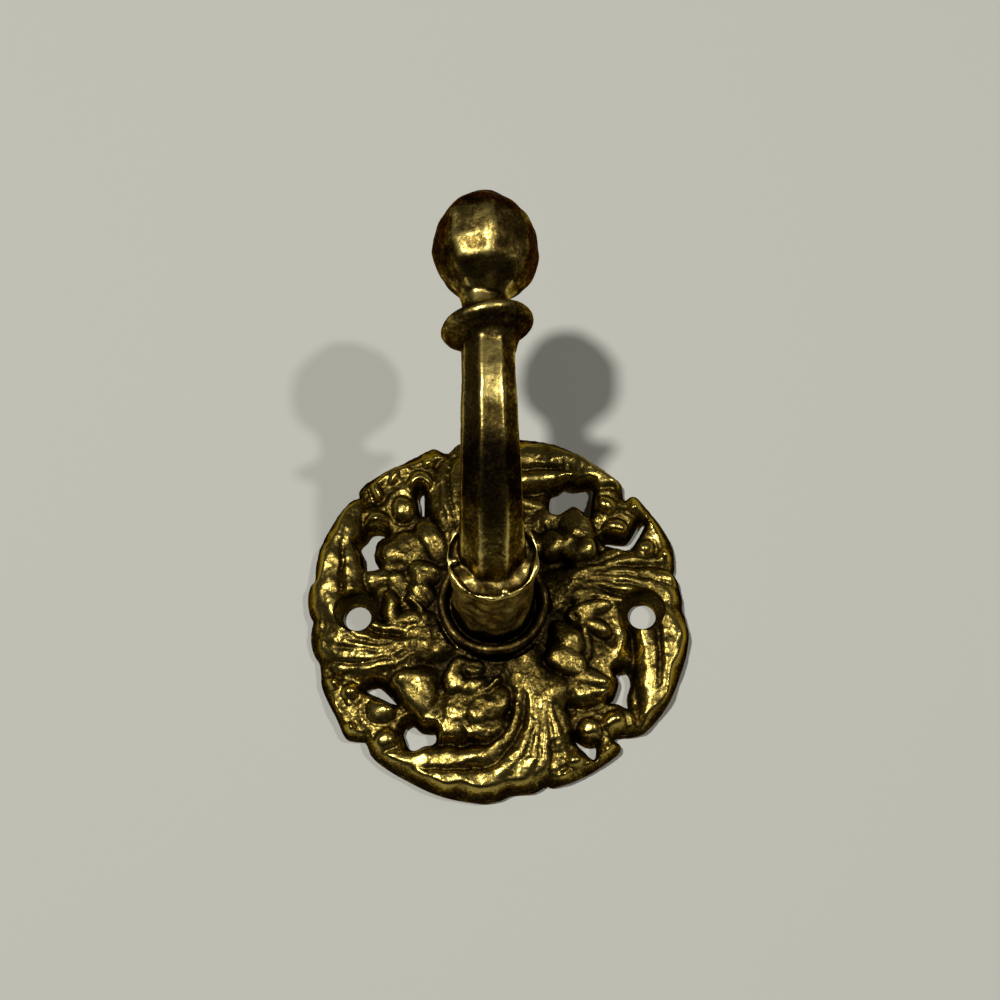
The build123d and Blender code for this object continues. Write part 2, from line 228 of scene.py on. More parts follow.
def raise_ridge(line, drop=RIDGE_DROP, flatness=RIDGE_FLATNESS):
    global height
    near, stretches = line_gaps(line)
    best = np.max([crest - drop * (gap / half_width) ** flatness for gap, crest, half_width in stretches], 0)
    height[near] = merge(height[near], best)


def cut_groove(line):
    # The line's height is the groove's depth below the surface there
    near, stretches = line_gaps(line)
    cuts = [depth * np.exp(-((gap / half_width) ** 2)) for gap, depth, half_width in stretches]
    height[near] -= np.max(cuts, 0)


def ridge_line(points, quarter, steps=4, level=None):
    # Readings of u, v, height and half width, smoothed and put in place
    line = smooth_line(points, steps)
    line[:, :2] = in_place(line[:, :2], line[:, 2] if level is None else np.full(len(line), level), quarter)
    return line


print("sheet:", len(x), "points,", round(2 * GRID_HALF / GRID_CELLS, 3), "mm apart")

# %% [markdown]
# ## The mound and the scroll leaves
# The middle rises to the seat of the arm's foot. From under the foot four acanthus leaves fan out,
# and each swings round along the rim to a pointed tip. The ribs of one leaf are drawn once and laid in
# every quarter over the leaf's low body.

# %% Raise the mound and the leaves
SEAT_RADIUS = 8.25
MOUND_RADIUS = 15.5
MOUND_TOP = 5.2
LEAF_BODY = [
    (-19.8, -23.6, 2.6, 1.5), (-14, -25.8, 3.5, 2.9), (-8, -26.8, 3.9, 3.6), (-2, -26.3, 4.1, 4.0),
    (3, -23.5, 4.3, 4.0), (6, -19, 4.7, 3.9), (5.6, -14, 5.1, 3.6), (4, -10, 5.6, 3.6), (3, -7, 6.0, 3.6),
]
LEAF_RIBS = [
    [(-20.2, -22.8, 2.7, 1.0), (-16, -24.1, 3.7, 1.5), (-10, -24.2, 4.4, 1.6), (-5, -23.9, 4.7, 1.6),
     (-1, -22.6, 4.8, 1.3), (1.6, -20.2, 4.9, 1.0), (2.6, -16.5, 5.0, 0.9), (2.8, -12.5, 5.2, 0.9)],
    [(-19.6, -23.8, 2.7, 1.0), (-16, -26, 3.6, 1.6), (-12, -26.9, 4.2, 2.0), (-8, -27.6, 4.5, 2.1),
     (-3, -27.7, 4.6, 2.1), (0, -26, 4.7, 1.7), (2.8, -24.2, 4.8, 1.4), (4.4, -20, 5.1, 0.9),
     (5, -15, 5.3, 0.8), (4.6, -11, 5.4, 0.8)],
    [(-11, -29, 2.4, 1.0), (-5, -29.8, 3.0, 1.4), (-1, -29.6, 3.2, 1.5), (2, -28.2, 3.4, 1.5),
     (4.2, -26.2, 4.1, 1.3), (5.6, -22, 4.9, 0.9), (5.8, -16, 5.2, 0.8)],
    [(5.4, -28.2, 3.2, 1.4), (6.6, -25.5, 4.0, 1.3), (7.1, -22, 4.8, 1.0), (6.7, -17, 5.1, 0.8),
     (5.4, -12, 5.3, 0.8)],
    [(8.6, -26.3, 3.1, 1.2), (9.3, -22.8, 4.0, 1.3), (8.6, -19, 4.8, 1.0), (7.4, -15, 5.2, 0.9),
     (5.8, -11.5, 5.3, 0.8)],
    [(10.4, -22.6, 3.0, 1.0), (10.3, -19.5, 3.8, 1.1), (9, -15.5, 4.6, 1.1), (7.2, -12, 5.1, 1.0)],
]
# Fine lines between the ribs: u, v, depth, half width
LEAF_LINES = [
    [(-12, -25.6, 0.22, 0.4), (-7, -25.8, 0.54, 0.4), (-2, -25.4, 0.54, 0.4), (1.2, -23, 0.43, 0.3),
     (3.4, -19, 0.43, 0.25), (4, -14, 0.22, 0.25)],
    [(-4, -22.6, 0.22, 0.25), (-0.6, -21.2, 0.38, 0.25), (1.6, -17.6, 0.38, 0.25), (2.6, -13.5, 0.22, 0.25)],
    [(2.2, -26, 0.18, 0.3), (4.4, -23, 0.24, 0.25), (5.2, -18, 0.21, 0.22), (5.4, -14, 0.12, 0.2)],
    [(5.4, -26, 0.24, 0.3), (6.2, -22, 0.24, 0.25), (6.3, -17, 0.21, 0.22), (5.7, -13, 0.12, 0.2)],
    [(7.8, -26.4, 0.24, 0.3), (8.2, -22, 0.24, 0.25), (7.7, -18, 0.21, 0.22), (6.4, -13.5, 0.12, 0.2)],
    [(9.8, -24.4, 0.24, 0.3), (9.9, -20.5, 0.21, 0.25), (8.8, -16.5, 0.18, 0.22), (7.2, -13.2, 0.12, 0.2)],
]
LINE_LEVEL = 4.5        # height at which the fine lines are seen
LEAF_DROP, LEAF_FLATNESS, RIB_DROP = 1.3, 3.5, 0.85

from_hub = np.hypot(true_x - HUB_X, true_z)
slope = np.clip((MOUND_RADIUS - from_hub) / (MOUND_RADIUS - SEAT_RADIUS), 0, 1)
height += (MOUND_TOP - height) * slope**2 * (3 - 2 * slope)
for quarter in QUARTERS:
    raise_ridge(ridge_line(LEAF_BODY, quarter), LEAF_DROP, LEAF_FLATNESS)
    for rib in LEAF_RIBS:
        raise_ridge(ridge_line(rib, quarter), RIB_DROP)
    for groove in LEAF_LINES:
        cut_groove(ridge_line(groove, quarter, level=LINE_LEVEL))
print("leaves: top at", round(height[from_hub > MOUND_RADIUS].max(), 2), "mm")

# %% [markdown]
# ## The flowers
# Between the leaves sit open flowers: a broad petal that points at the window, a split bud by the hub
# and a heart-shaped petal below it. A petal is a full dome with steep sides, so that dark lines part
# it from its neighbours. The folds are short ridges.

# %% Raise the flowers
# Petal: u, v, heading, half length, half width, top, depth, taper, crease
PETALS = {
    "bottom": [
        (-13, -12.4, -75, 5.0, 3.6, 5.8, 3.2, 0.4, 0.0), (-14.9, -10.6, 195, 3.0, 1.7, 6.0, 2.2, 0.0, 0.0),
        (-11, -18, -60, 2.8, 2.0, 4.5, 2.2, 0.3, 0.0), (-4.8, -13.6, 60, 6.2, 4.8, 5.2, 3.2, 0.0, 0.0),
        (-7.3, -10.8, 85, 2.6, 1.9, 6.3, 1.8, 0.0, 0.0), (-6.7, -8.4, 20, 1.8, 1.1, 6.3, 1.2, 0.0, 0.0),
        (-4.2, -9, 0, 1.7, 1.5, 6.1, 1.2, 0.0, 0.3), (-4.4, -12.1, 28, 2.4, 1.4, 5.9, 1.4, 0.0, 0.0),
        (-3.4, -16.0, 80, 2.7, 1.9, 5.8, 1.5, 0.0, 0.0), (-0.6, -14.9, 60, 3.1, 2.0, 5.8, 1.5, 0.0, 0.0),
        (-2.2, -19, 12, 3.8, 2.3, 5.0, 2.2, 0.0, 0.0), (-7, -15.4, 75, 3.2, 2.3, 5.1, 1.6, 0.0, 0.0),
        (-7.4, -18.6, 30, 3.0, 2.1, 4.5, 1.9, 0.0, 0.0), (-9.3, -19.2, 90, 1.4, 1.0, 4.5, 1.4, 0.0, 0.2),
    ],
    "right": [
        (-12.6, -9, 15, 3.2, 2.5, 5.8, 2.4, 0.0, 0.0), (-12.2, -13.8, -92, 5.2, 3.3, 5.2, 3.0, 0.3, 0.4),
        (-11, -14.6, -100, 3.0, 1.5, 5.5, 1.2, 0.2, 0.0), (-5.7, -10.6, 20, 4.8, 4.0, 5.8, 3.0, 0.0, 0.0),
        (-7.6, -10.6, 62, 3.7, 2.3, 6.4, 1.4, 0.0, 0.0), (-4, -11, 48, 3.5, 2.3, 6.4, 1.4, 0.0, 0.0),
        (0, -14.6, 80, 4.2, 3.2, 5.3, 2.7, 0.0, 0.0), (-2, -15.7, 58, 2.9, 1.4, 5.8, 1.4, 0.0, 0.0),
        (0.9, -14.7, 97, 3.6, 1.4, 5.9, 1.4, 0.0, 0.0), (3.3, -12.8, 100, 3.8, 1.8, 5.7, 1.6, 0.0, 0.0),
        (-8, -17.2, 10, 4.0, 2.6, 4.6, 2.4, 0.0, 0.0), (0, -17.9, 0, 4.4, 2.0, 4.8, 2.2, 0.0, 0.0),
    ],
    "top": [
        (-13.7, -11.2, 50, 2.8, 2.2, 6.0, 1.9, 0.0, 0.0), (-11.5, -11.7, 100, 2.3, 1.7, 5.9, 1.6, 0.0, 0.0),
        (-12.5, -14.6, -91, 4.8, 3.6, 5.2, 3.0, 0.35, 0.0), (-8.6, -12.3, 90, 2.9, 2.4, 6.2, 2.2, 0.0, 0.0),
        (-4.6, -11.6, 60, 3.6, 2.5, 6.2, 2.2, 0.0, 0.0), (-7.6, -16.4, 60, 3.6, 2.4, 5.0, 2.4, 0.0, 0.0),
        (-2.2, -15.9, 58, 3.0, 1.6, 5.8, 1.9, 0.0, 0.0), (0.9, -14.8, 97, 3.8, 1.5, 5.9, 1.9, 0.0, 0.0),
        (3.2, -12.8, 100, 3.6, 1.7, 5.6, 1.9, 0.0, 0.0),
    ],
    "left": [
        (-13.2, -11, 25, 4.4, 2.3, 5.9, 2.4, 0.0, 0.3), (-11.2, -15.3, -82, 5.6, 3.8, 5.2, 3.2, 0.3, 0.0),
        (-7.4, -12.2, 70, 3.2, 2.4, 6.2, 2.2, 0.0, 0.3), (-3.8, -12.5, 55, 3.0, 2.0, 6.0, 1.9, 0.0, 0.3),
        (0.6, -13.8, 92, 4.1, 1.7, 5.8, 1.9, 0.0, 0.0), (2.8, -12.6, 95, 3.6, 1.9, 5.5, 1.9, 0.0, 0.0),
        (-1, -17.6, 5, 3.6, 1.5, 5.2, 1.8, 0.0, 0.0), (-5.6, -15.8, 60, 3.4, 2.5, 5.0, 2.2, 0.0, 0.0),
        (-6.2, -20, -80, 3.4, 2.6, 4.3, 2.4, 0.0, 0.0),
    ],
}
# Fold: points of u, v, height, half width
FOLDS = {
    "bottom": [
        [(-4.2, -13.8, 5.4, 0.7), (-2, -12.7, 5.6, 0.7), (-0.4, -11.2, 5.8, 0.7)],
        [(-5.9, -17, 4.9, 0.5), (-5.8, -18.6, 4.8, 0.5), (-5, -20.2, 4.6, 0.5)],
    ],
    "right": [
        [(-10, -17.7, 4.5, 1.1), (-6.5, -18.9, 4.6, 1.2), (-3.5, -19.2, 4.9, 1.2), (0, -18.6, 5.0, 1.2),
         (2.6, -17.8, 5.0, 1.0), (4.2, -15, 5.1, 0.9)],
        [(-9.6, -13.2, 5.1, 0.8), (-6, -14.5, 5.2, 0.9), (-2.4, -13.6, 5.3, 0.8), (-0.5, -11.4, 5.6, 0.8)],
    ],
    "top": [
        [(-9.4, -16.6, 4.6, 1.0), (-7, -18.8, 4.6, 1.1), (-3.5, -19.2, 4.9, 1.2), (0, -18.6, 4.9, 1.1)],
    ],
    "left": [
        [(-2.8, -14.8, 5.4, 0.7), (-0.9, -12.5, 5.8, 0.7)],
        [(-18.6, -24.6, 3.4, 0.8), (-13, -27, 3.9, 0.9), (-9, -28.3, 4.2, 0.9), (-5.8, -27.4, 4.5, 0.9)],
        [(-5.2, -28.6, 4.0, 0.8), (-2.5, -27.7, 4.3, 0.9), (0.8, -26.9, 4.2, 0.8)],
    ],
}
FLOWER_BED = (-6, -13.5, 20, 10.5, 7.8, 4.4)
BED_FLOOR = 2.0


def raise_in(quarter, u, v, heading, half_length, half_width, top, floor, **form):
    middle = in_place((u, v), top, quarter)
    raise_dome(middle, heading + 90 * QUARTERS[quarter], half_length, half_width, top, floor, **form)


def raise_petal(quarter, u, v, heading, half_length, half_width, top, depth, taper, crease):
    # A petal's edge lies by its depth under its top
    raise_in(quarter, u, v, heading, half_length, half_width, top, top - depth, taper=taper, crease=crease)


for quarter in QUARTERS:
    raise_in(quarter, *FLOWER_BED, BED_FLOOR)
    for petal in PETALS[quarter]:
        raise_petal(quarter, *petal)
    for fold in FOLDS[quarter]:
        raise_ridge(ridge_line(fold, quarter))
print("petals:", sum(map(len, PETALS.values())), "folds:", sum(map(len, FOLDS.values())))

# %% [markdown]
# ## The berries and the rolled edge
# Each quarter ends in a sprig: two or three ringed berries, and a rolled edge with small knobs.

# %% Raise the sprigs
# Berry: u, v, heading, half length, half width, top, ring (0 for none)
BERRIES = {
    "bottom": [
        (18.0, -18.0, 10, 2.1, 1.9, 4.6, 0.6), (14.2, -19.5, 80, 2.4, 2.1, 4.7, 0.8),
        (11.7, -24.2, 10, 1.7, 1.5, 4.2, 0.5), (10.7, -27.0, 10, 1.4, 1.1, 4.0, 0),
        (17.3, -22.8, 55, 1.8, 1.1, 3.9, 0),
    ],
    "right": [
        (19.3, -17.6, 60, 2.1, 1.9, 4.6, 0.6), (15.0, -19.3, 85, 2.4, 2.0, 4.7, 0.7),
        (11.5, -24.1, 90, 1.8, 1.5, 4.2, 0.5), (10.2, -27.5, 30, 1.3, 1.0, 3.9, 0),
        (18.4, -22.5, 110, 1.6, 1.0, 3.9, 0), (16.2, -24.8, 40, 1.1, 0.9, 3.8, 0),
    ],
    "top": [
        (20.2, -16.2, 70, 2.3, 2.1, 4.6, 0.5), (15.7, -18.8, 95, 2.5, 2.1, 4.8, 0.7),
        (13.1, -23.8, 20, 2.2, 2.0, 4.5, 0.5), (11.7, -26.9, 40, 1.3, 1.0, 4.0, 0),
        (17.6, -24.3, 60, 1.7, 0.9, 3.9, 0), (20.2, -21.8, 120, 1.8, 0.9, 3.9, 0),
    ],
    "left": [
        (20.9, -18.2, -50, 2.1, 1.9, 4.6, 0.5), (16.2, -19.1, 75, 2.5, 2.0, 4.7, 0.7),
        (12.9, -23.9, -30, 1.8, 1.6, 4.3, 0.5), (11.6, -26.8, 0, 1.3, 1.0, 4.0, 0),
        (19.1, -23.8, 0, 1.3, 1.0, 3.9, 0), (14.9, -24.3, 0, 0.9, 0.8, 3.6, 0),
    ],
}
SPRIG_BED = (14.6, -21.2, -35, 7.5, 5.2, 2.9)
ROLLED_EDGE = [
    (7.6, -27.7, 2.8, 1.0), (10.6, -27, 3.2, 1.1), (13.6, -25.9, 3.0, 1.0), (16.2, -24.5, 3.2, 1.1),
    (18.6, -22.5, 3.1, 1.0),
]
EDGE_SHIFT = {"bottom": (0, 0), "right": (0.4, 0), "top": (2.0, -0.2), "left": (1.2, -0.9)}
BERRY_DEPTH, BERRY_FLATNESS = 2.2, 1.1
RING_HEIGHT = 1.5       # a berry's top stands this far over its ring
RING_WIDTH = 0.8
RING_DROP = 0.5
RING_STEPS = 18


def raise_berry(quarter, u, v, heading, half_length, half_width, top, ring):
    middle = in_place((u, v), top, quarter)
    heading += 90 * QUARTERS[quarter]
    if ring:
        turns = np.linspace(0, 2 * math.pi, RING_STEPS)
        along, across = (half_length + ring) * np.cos(turns), (half_width + ring) * np.sin(turns)
        turn = math.radians(heading)
        line = np.stack([
            middle[0] + along * math.cos(turn) - across * math.sin(turn),
            middle[1] + along * math.sin(turn) + across * math.cos(turn),
            np.full(RING_STEPS, top - RING_HEIGHT),
            np.full(RING_STEPS, RING_WIDTH),
        ], -1)
        raise_ridge(line, drop=RING_DROP)
    raise_dome(middle, heading, half_length, half_width, top, top - BERRY_DEPTH,
               flatness=BERRY_FLATNESS)


for quarter in QUARTERS:
    raise_in(quarter, *SPRIG_BED, BED_FLOOR)
    edge = np.array(ROLLED_EDGE)
    edge[:, :2] += EDGE_SHIFT[quarter]
    raise_ridge(ridge_line(edge, quarter))
    for berry in BERRIES[quarter]:
        raise_berry(quarter, *berry)
print("berries and knobs:", sum(map(len, BERRIES.values())))

# %% [markdown]
# ## The rim and the openings
# The rim runs round in four uneven stretches with a nick between them. Each quarter has a curled window
# under the broad petal's tip and a slit beside the berries. The same outlines cut the casting later, so
# the sheet is lowered towards them first, which rounds the cut edges.

# %% Draw the rim and the openings
RIM = {
    "bottom": [
        (-20.5, -23.4), (-19.4, -24.6), (-17, -26.3), (-14, -28), (-11, -29.5), (-8, -30.5), (-4, -31.2),
        (-2.3, -31.3), (0, -30.9), (2, -30), (5, -29.8), (6.5, -29.1), (7.2, -28.6), (8, -28.9),
        (9.5, -28.6), (12, -27.7), (15, -26.2), (18, -24.1), (19, -23), (18.8, -22.2), (18.1, -21.7),
        (18.3, -21.1), (19.2, -20.8),
    ],
    "right": [
        (-20.8, -20.5), (-20.5, -22), (-19.8, -23.3), (-17, -25.8), (-14, -27.6), (-10, -29.2), (-7, -30.1),
        (-4, -30.5), (-2, -30.2), (0.3, -29.6), (2, -29.7), (4.5, -29.2), (6.3, -28.4), (7.3, -28.7),
        (9.5, -28.7), (12, -28.2), (15, -26.6), (18, -24.5), (19.8, -23), (20.1, -22), (19.6, -21.1),
    ],
    "top": [
        (-20.7, -19.8), (-20.5, -21.5), (-20, -22.8), (-17, -25.2), (-14, -27.5), (-11, -29.2), (-8, -30.1),
        (-4, -30.8), (0, -30.9), (4, -30.5), (6.8, -29.8), (8, -28.6), (9, -28.4), (10.3, -29), (11.3, -29),
        (14, -27.6), (17, -25.9), (20, -24.2), (22, -22.9), (23.2, -21.4), (23.2, -20.2),
    ],
    "left": [
        (-19.5, -24.7), (-17, -26.6), (-14, -28.3), (-11, -29.4), (-8, -30), (-5.6, -30),
        (-4.6, -30.7), (-2.5, -31.1), (0, -30.8), (1.5, -30.1), (3.5, -30.4), (5.5, -30.3), (7, -29.8),
        (8.5, -28.9), (10.5, -28.6), (12.5, -28.4), (15, -27.3), (17.5, -26), (20, -24.9), (21, -24),
        (21.2, -22.3), (21.5, -21.3),
    ],
}
OPENINGS = {
    "bottom": [
        [(-15.3, -20.6), (-14.8, -19.4), (-13.8, -19), (-12.3, -20.2), (-10.3, -20.4), (-10.3, -21.4),
         (-12, -21.8), (-13.3, -22.5), (-14.5, -22.2)],
        [(11.6, -21.4), (12.4, -22.1), (13.6, -22.7), (15, -22.6), (15, -24), (14.3, -24.1), (13.2, -23),
         (12, -22.6)],
    ],
    "right": [
        [(-15.2, -19), (-14.9, -17.3), (-14.2, -18.2), (-12.6, -18.9), (-10.9, -18.4), (-10.6, -20.2),
         (-12.5, -20.8), (-14, -20.3), (-15.8, -20.4)],
        [(12.1, -17.4), (12.9, -17.3), (12.6, -19.6), (12.9, -21.3), (14.9, -23), (15, -23.9),
         (13.8, -23.6), (11.3, -21.6), (11.6, -19.5)],
    ],
    "top": [
        [(-15.4, -19.5), (-15, -16.8), (-13.9, -18.2), (-12.4, -19), (-10.8, -18.1), (-9.3, -17.3),
         (-8.4, -18.3), (-8.6, -19.9), (-10, -20.6), (-11.5, -21.6), (-13.2, -21.1), (-15.5, -21.4)],
        [(12.4, -17.6), (13, -17.6), (13.5, -20.4), (12.4, -20.6)],
    ],
    "left": [
        [(-13.6, -19.4), (-12.9, -18.4), (-12, -19.8), (-10.5, -20.6), (-9, -20), (-8.2, -19.7), (-8, -22),
         (-10, -22.4), (-11.1, -23.1), (-12.2, -22), (-13.6, -21.2)],
        [(15, -16.3), (14.9, -17.2), (13.9, -19.4), (13.5, -21.3), (12.7, -20.3), (12.8, -19),
         (13.9, -17.2)],
    ],
}
RIM_HEIGHT = 1.0
LIP_FRONT, LIP_BACK = 2.6, 0.0      # heights at which an opening's lower and upper edge are seen
OUTLINE_STEPS = 3

rim_readings = [at_level(RIM[quarter], RIM_HEIGHT, quarter) for quarter in QUARTERS]
rim_readings.append(at_level(RIM["bottom"][:1], RIM_HEIGHT, "bottom"))
rim = smooth_line(np.vstack(rim_readings), OUTLINE_STEPS)[:-1]
openings = []
for quarter in QUARTERS:
    for outline in OPENINGS[quarter]:
        seen = turned(outline, quarter)
        edge_heights = np.where(seen[:, 1] > seen[:, 1].mean(), LIP_BACK, LIP_FRONT)
        outline = in_place(outline, edge_heights, quarter)
        openings.append(smooth_line(np.vstack([outline, outline[:1]]), OUTLINE_STEPS)[:-1])
print("rim:", len(rim), "points; openings:", len(openings))

# %% [markdown]
# A rim of even roundness would look like a tube laid round the plate. So the slope's width comes and
# goes along the rim, and the ribs and dents run on over it.

# %% Lower the sheet towards the cut edges
side = GRID_CELLS + 1
RIM_ROUND, RIM_LOW, RIM_FULLNESS = 1.5, 0.9, 1.8    # slope's width, height at the edge and bulge
RIM_VARIES, RIM_STRETCH = 0.9, 4.0
BODY_CELLS, KEPT_DETAIL = 6, 0.6
THINNEST = 0.6
EDGE_ROUND, EDGE_LOW, EDGE_FULLNESS = 1.3, 0.9, 2.2     # the same round the openings
FAR_AWAY = 1e6
SEAT_GAP = 0.9          # moat between the foot's seat and the ornament
MOAT_HEIGHT = 5.2


def distance_to(outline):
    nearest = np.full(len(x), FAR_AWAY)
    for start, end in zip(outline, np.roll(outline, -1, 0)):
        run = end - start
        along, up = true_x - start[0], true_z - start[1]
        share = np.clip((along * run[0] + up * run[1]) / (run @ run), 0, 1)
        nearest = np.minimum(nearest, (along - share * run[0]) ** 2 + (up - share * run[1]) ** 2)
    return np.sqrt(nearest)


def surroundings(field, cells):
    # Mean over a square of grid points, one way and then the other
    for axis in (0, 1):
        padded = np.pad(field, [(cells + 1, cells) if a == axis else (0, 0) for a in (0, 1)], "edge")
        total = np.cumsum(padded, axis)
        size = 2 * cells + 1
        field = (np.take(total, range(size, total.shape[axis]), axis)
                 - np.take(total, range(total.shape[axis] - size), axis)) / size
    return field


def round_off(outlines, width, low, fullness):
    # Slopes the sheet down to its cut edges: straight at a fullness of 1, bulging above it
    global height
    to_edge = np.minimum.reduce([distance_to(outline) for outline in outlines])
    share = np.clip(to_edge / width, 0, 1)
    body = surroundings(height.reshape(side, side), BODY_CELLS).ravel()
    detail = (height - body) * (KEPT_DETAIL + (1 - KEPT_DETAIL) * share)
    rounded = low + (body - low) * (1 - (1 - share) ** fullness) + detail
    height = np.where(to_edge < width, np.maximum(rounded, THINNEST), height)
    return to_edge


comes_and_goes = np.array([noise.noise(Vector((*point, 0)) / RIM_STRETCH) for point in sheet_points])
to_rim = round_off([rim], RIM_ROUND * (1 + RIM_VARIES * comes_and_goes), RIM_LOW, RIM_FULLNESS)
round_off(openings, EDGE_ROUND, EDGE_LOW, EDGE_FULLNESS)
moat = (from_hub > SEAT_RADIUS) & (from_hub < SEAT_RADIUS + SEAT_GAP)
height[moat] = np.minimum(height[moat], MOAT_HEIGHT)
height = np.where(from_hub <= SEAT_RADIUS, SEAT_HEIGHT, height)
print("points on the rim's slope:", int((to_rim < RIM_ROUND).sum()))

# %% [markdown]
# ## Cast skin
# Sand leaves a rough skin. Three noises are added to the sheet, apart from the machined seat: slow
# dents everywhere, and pits and grain that are mostly rubbed away on the high spots. How far a spot
# stands above its surroundings is kept with the mesh, because handling polishes high spots and dirt
# stays in low ones. The foot's shade and shade along the rim's slope are painted on as lower values,
# and the ornament is made darker towards the hub.

# %% Roughen the sheet and measure its high spots
DENT_SIZE, DENT_DEPTH = 2.7, 0.34
PIT_SIZE, PIT_DEPTH = 1.2, 0.16
GRAIN_SIZE, GRAIN_DEPTH = 0.6, 0.13
POLISHED = 0.3          # share of pits and grain that is left on the high spots
RIM_SHADE = 0.2         # painted shade along the rim's slope
HUB_DARKENING, HUB_REACH = 0.45, 22.0   # the ornament is made darker towards the hub, out to this radius
FOOT_RADIUS, FOOT_TOP = 8.95, 8.0   # the foot's shade is painted on the ornament next to it
WEAR_NEAR, WEAR_FAR = 5, 16         # half widths of the surroundings, in grid cells
NEAR_SHARE, FAR_SHARE = 0.6, 0.4
HOLLOW_START = 0.5


def cast_noise(size, points):
    return np.array([noise.noise(Vector((px / size, pz / size, py / size))) for px, py, pz in points])


def standing_out(field):
    # Painted shade of the foot: inside it the field counts as at the foot's top, so the ornament beside it
    # reads low and darker
    shaded = np.where(from_hub.reshape(side, side) < FOOT_RADIUS, FOOT_TOP, field)
    near, far = surroundings(shaded, WEAR_NEAR), surroundings(shaded, WEAR_FAR)
    return NEAR_SHARE * (field - near) + FAR_SHARE * (field - far)


flat = np.stack([true_x, np.zeros(len(x)), true_z], -1)
height = surroundings(height.reshape(side, side), 1).ravel()
hollow_share = np.clip(HOLLOW_START - standing_out(height.reshape(side, side)), 0, 1).ravel()
coarse = PIT_DEPTH * cast_noise(PIT_SIZE, flat) + GRAIN_DEPTH * cast_noise(GRAIN_SIZE, flat)
skin = DENT_DEPTH * cast_noise(DENT_SIZE, flat) + coarse * (POLISHED + hollow_share)
height = np.where(from_hub <= SEAT_RADIUS, SEAT_HEIGHT, height + skin)
field = height.reshape(side, side)
# Painted shade along the rim's slope, and darkening towards the hub, are taken off how far a spot stands out
rim_shade_and_hub_darkening = RIM_SHADE * np.clip(1 - to_rim / RIM_ROUND, 0, 1)
rim_shade_and_hub_darkening += HUB_DARKENING * np.clip((HUB_REACH - from_hub) / (HUB_REACH - SEAT_RADIUS), 0, 1)
stands_out_and_shade = standing_out(field) - rim_shade_and_hub_darkening.reshape(side, side)
print("skin from", round(skin.min(), 2), "to", round(skin.max(), 2), "mm")

# %% [markdown]
# ## Cut the casting out
# The raised sheet gets side walls and a flat back, which makes it a block. The rim's prism keeps what
# is inside the outline. Then the openings, the two countersunk wall holes and the hollow back with the
# fixing screw's hole are taken away.

# %% Close the sheet to a block
BEHIND = 3.0            # the block reaches this far behind the wall before it is cut
PRISM_REACH = 12.0
SAME_POINT = 1e-4

for vert, out in zip(sheet.verts, height):
    vert.co = (vert.co.x, -out, vert.co.y)
border = [edge for edge in sheet.edges if edge.is_boundary]
walls = bmesh.ops.extrude_edge_only(sheet, edges=border)["geom"]
for vert in walls:
    if isinstance(vert, bmesh.types.BMVert):
        vert.co.y = BEHIND
bmesh.ops.contextual_create(sheet, geom=[item for item in walls if isinstance(item, bmesh.types.BMEdge)
                                         and item.is_boundary])
bmesh.ops.recalc_face_normals(sheet, faces=sheet.faces)
block = mesh_from(sheet, "rosette")


def prism(bm, outline, front, back):
    # Straight-sided block over an outline of x and z, between two depths
    base = [bm.verts.new((px, front, pz)) for px, pz in outline]
    face = bm.faces.new(base)
    grown = bmesh.ops.extrude_face_region(bm, geom=[face])["geom"]
    bmesh.ops.translate(bm, vec=(0, back - front, 0),
                        verts=[item for item in grown if isinstance(item, bmesh.types.BMVert)])


OUT = Matrix.Rotation(math.radians(90), 4, "X")     # turns a shape's own z out from the wall


def spin_round(bm, profile, steps, place):
    # Body of revolution from radius and height, then put in place
    start = [bm.verts.new((radius, 0, level)) for radius, level in profile]
    line = [bm.edges.new(pair) for pair in zip(start, start[1:])]
    bmesh.ops.spin(bm, geom=start + line, cent=(0, 0, 0), axis=(0, 0, 1), dvec=(0, 0, 0),
                   angle=2 * math.pi, steps=steps, use_merge=True)
    verts = dict.fromkeys(start)
    todo = list(start)
    while todo:
        for edge in todo.pop().link_edges:
            for vert in edge.verts:
                if vert not in verts:
                    verts[vert] = None
                    todo.append(vert)
    bmesh.ops.remove_doubles(bm, verts=list(verts), dist=SAME_POINT)
    verts = [vert for vert in verts if vert.is_valid]
    bmesh.ops.transform(bm, matrix=place, verts=verts)
    return verts


print("block:", len(block.vertices), "points")

# %% [markdown]
# Each cut is a solid of its own that reaches past the block on both sides, so no two faces lie in one
# plane where they meet. The rim's prism alone ends at the wall, and gives the casting its flat back.

# %% Cut the outline, the openings, the wall holes and the hollow back
HOLE_X, HOLE_RADIUS, HOLE_DEPTH = 23.2, 2.3, 1.2
RECESS_RADIUS, RECESS_DEPTH = 3.7, 2.3
DISH_RADIUS, DISH_DEPTH = 14.0, 3.0
SPOT_RADIUS, SPOT_DEPTH = 4.8, 3.3
SHANK_RADIUS = 2.8
ROUND_STEPS = 64

outline_prism = bmesh.new()
prism(outline_prism, rim, -PRISM_REACH, 0)
bmesh.ops.recalc_face_normals(outline_prism, faces=outline_prism.faces)
block = combine(block, mesh_from(outline_prism, "rim_prism"), "INTERSECT")

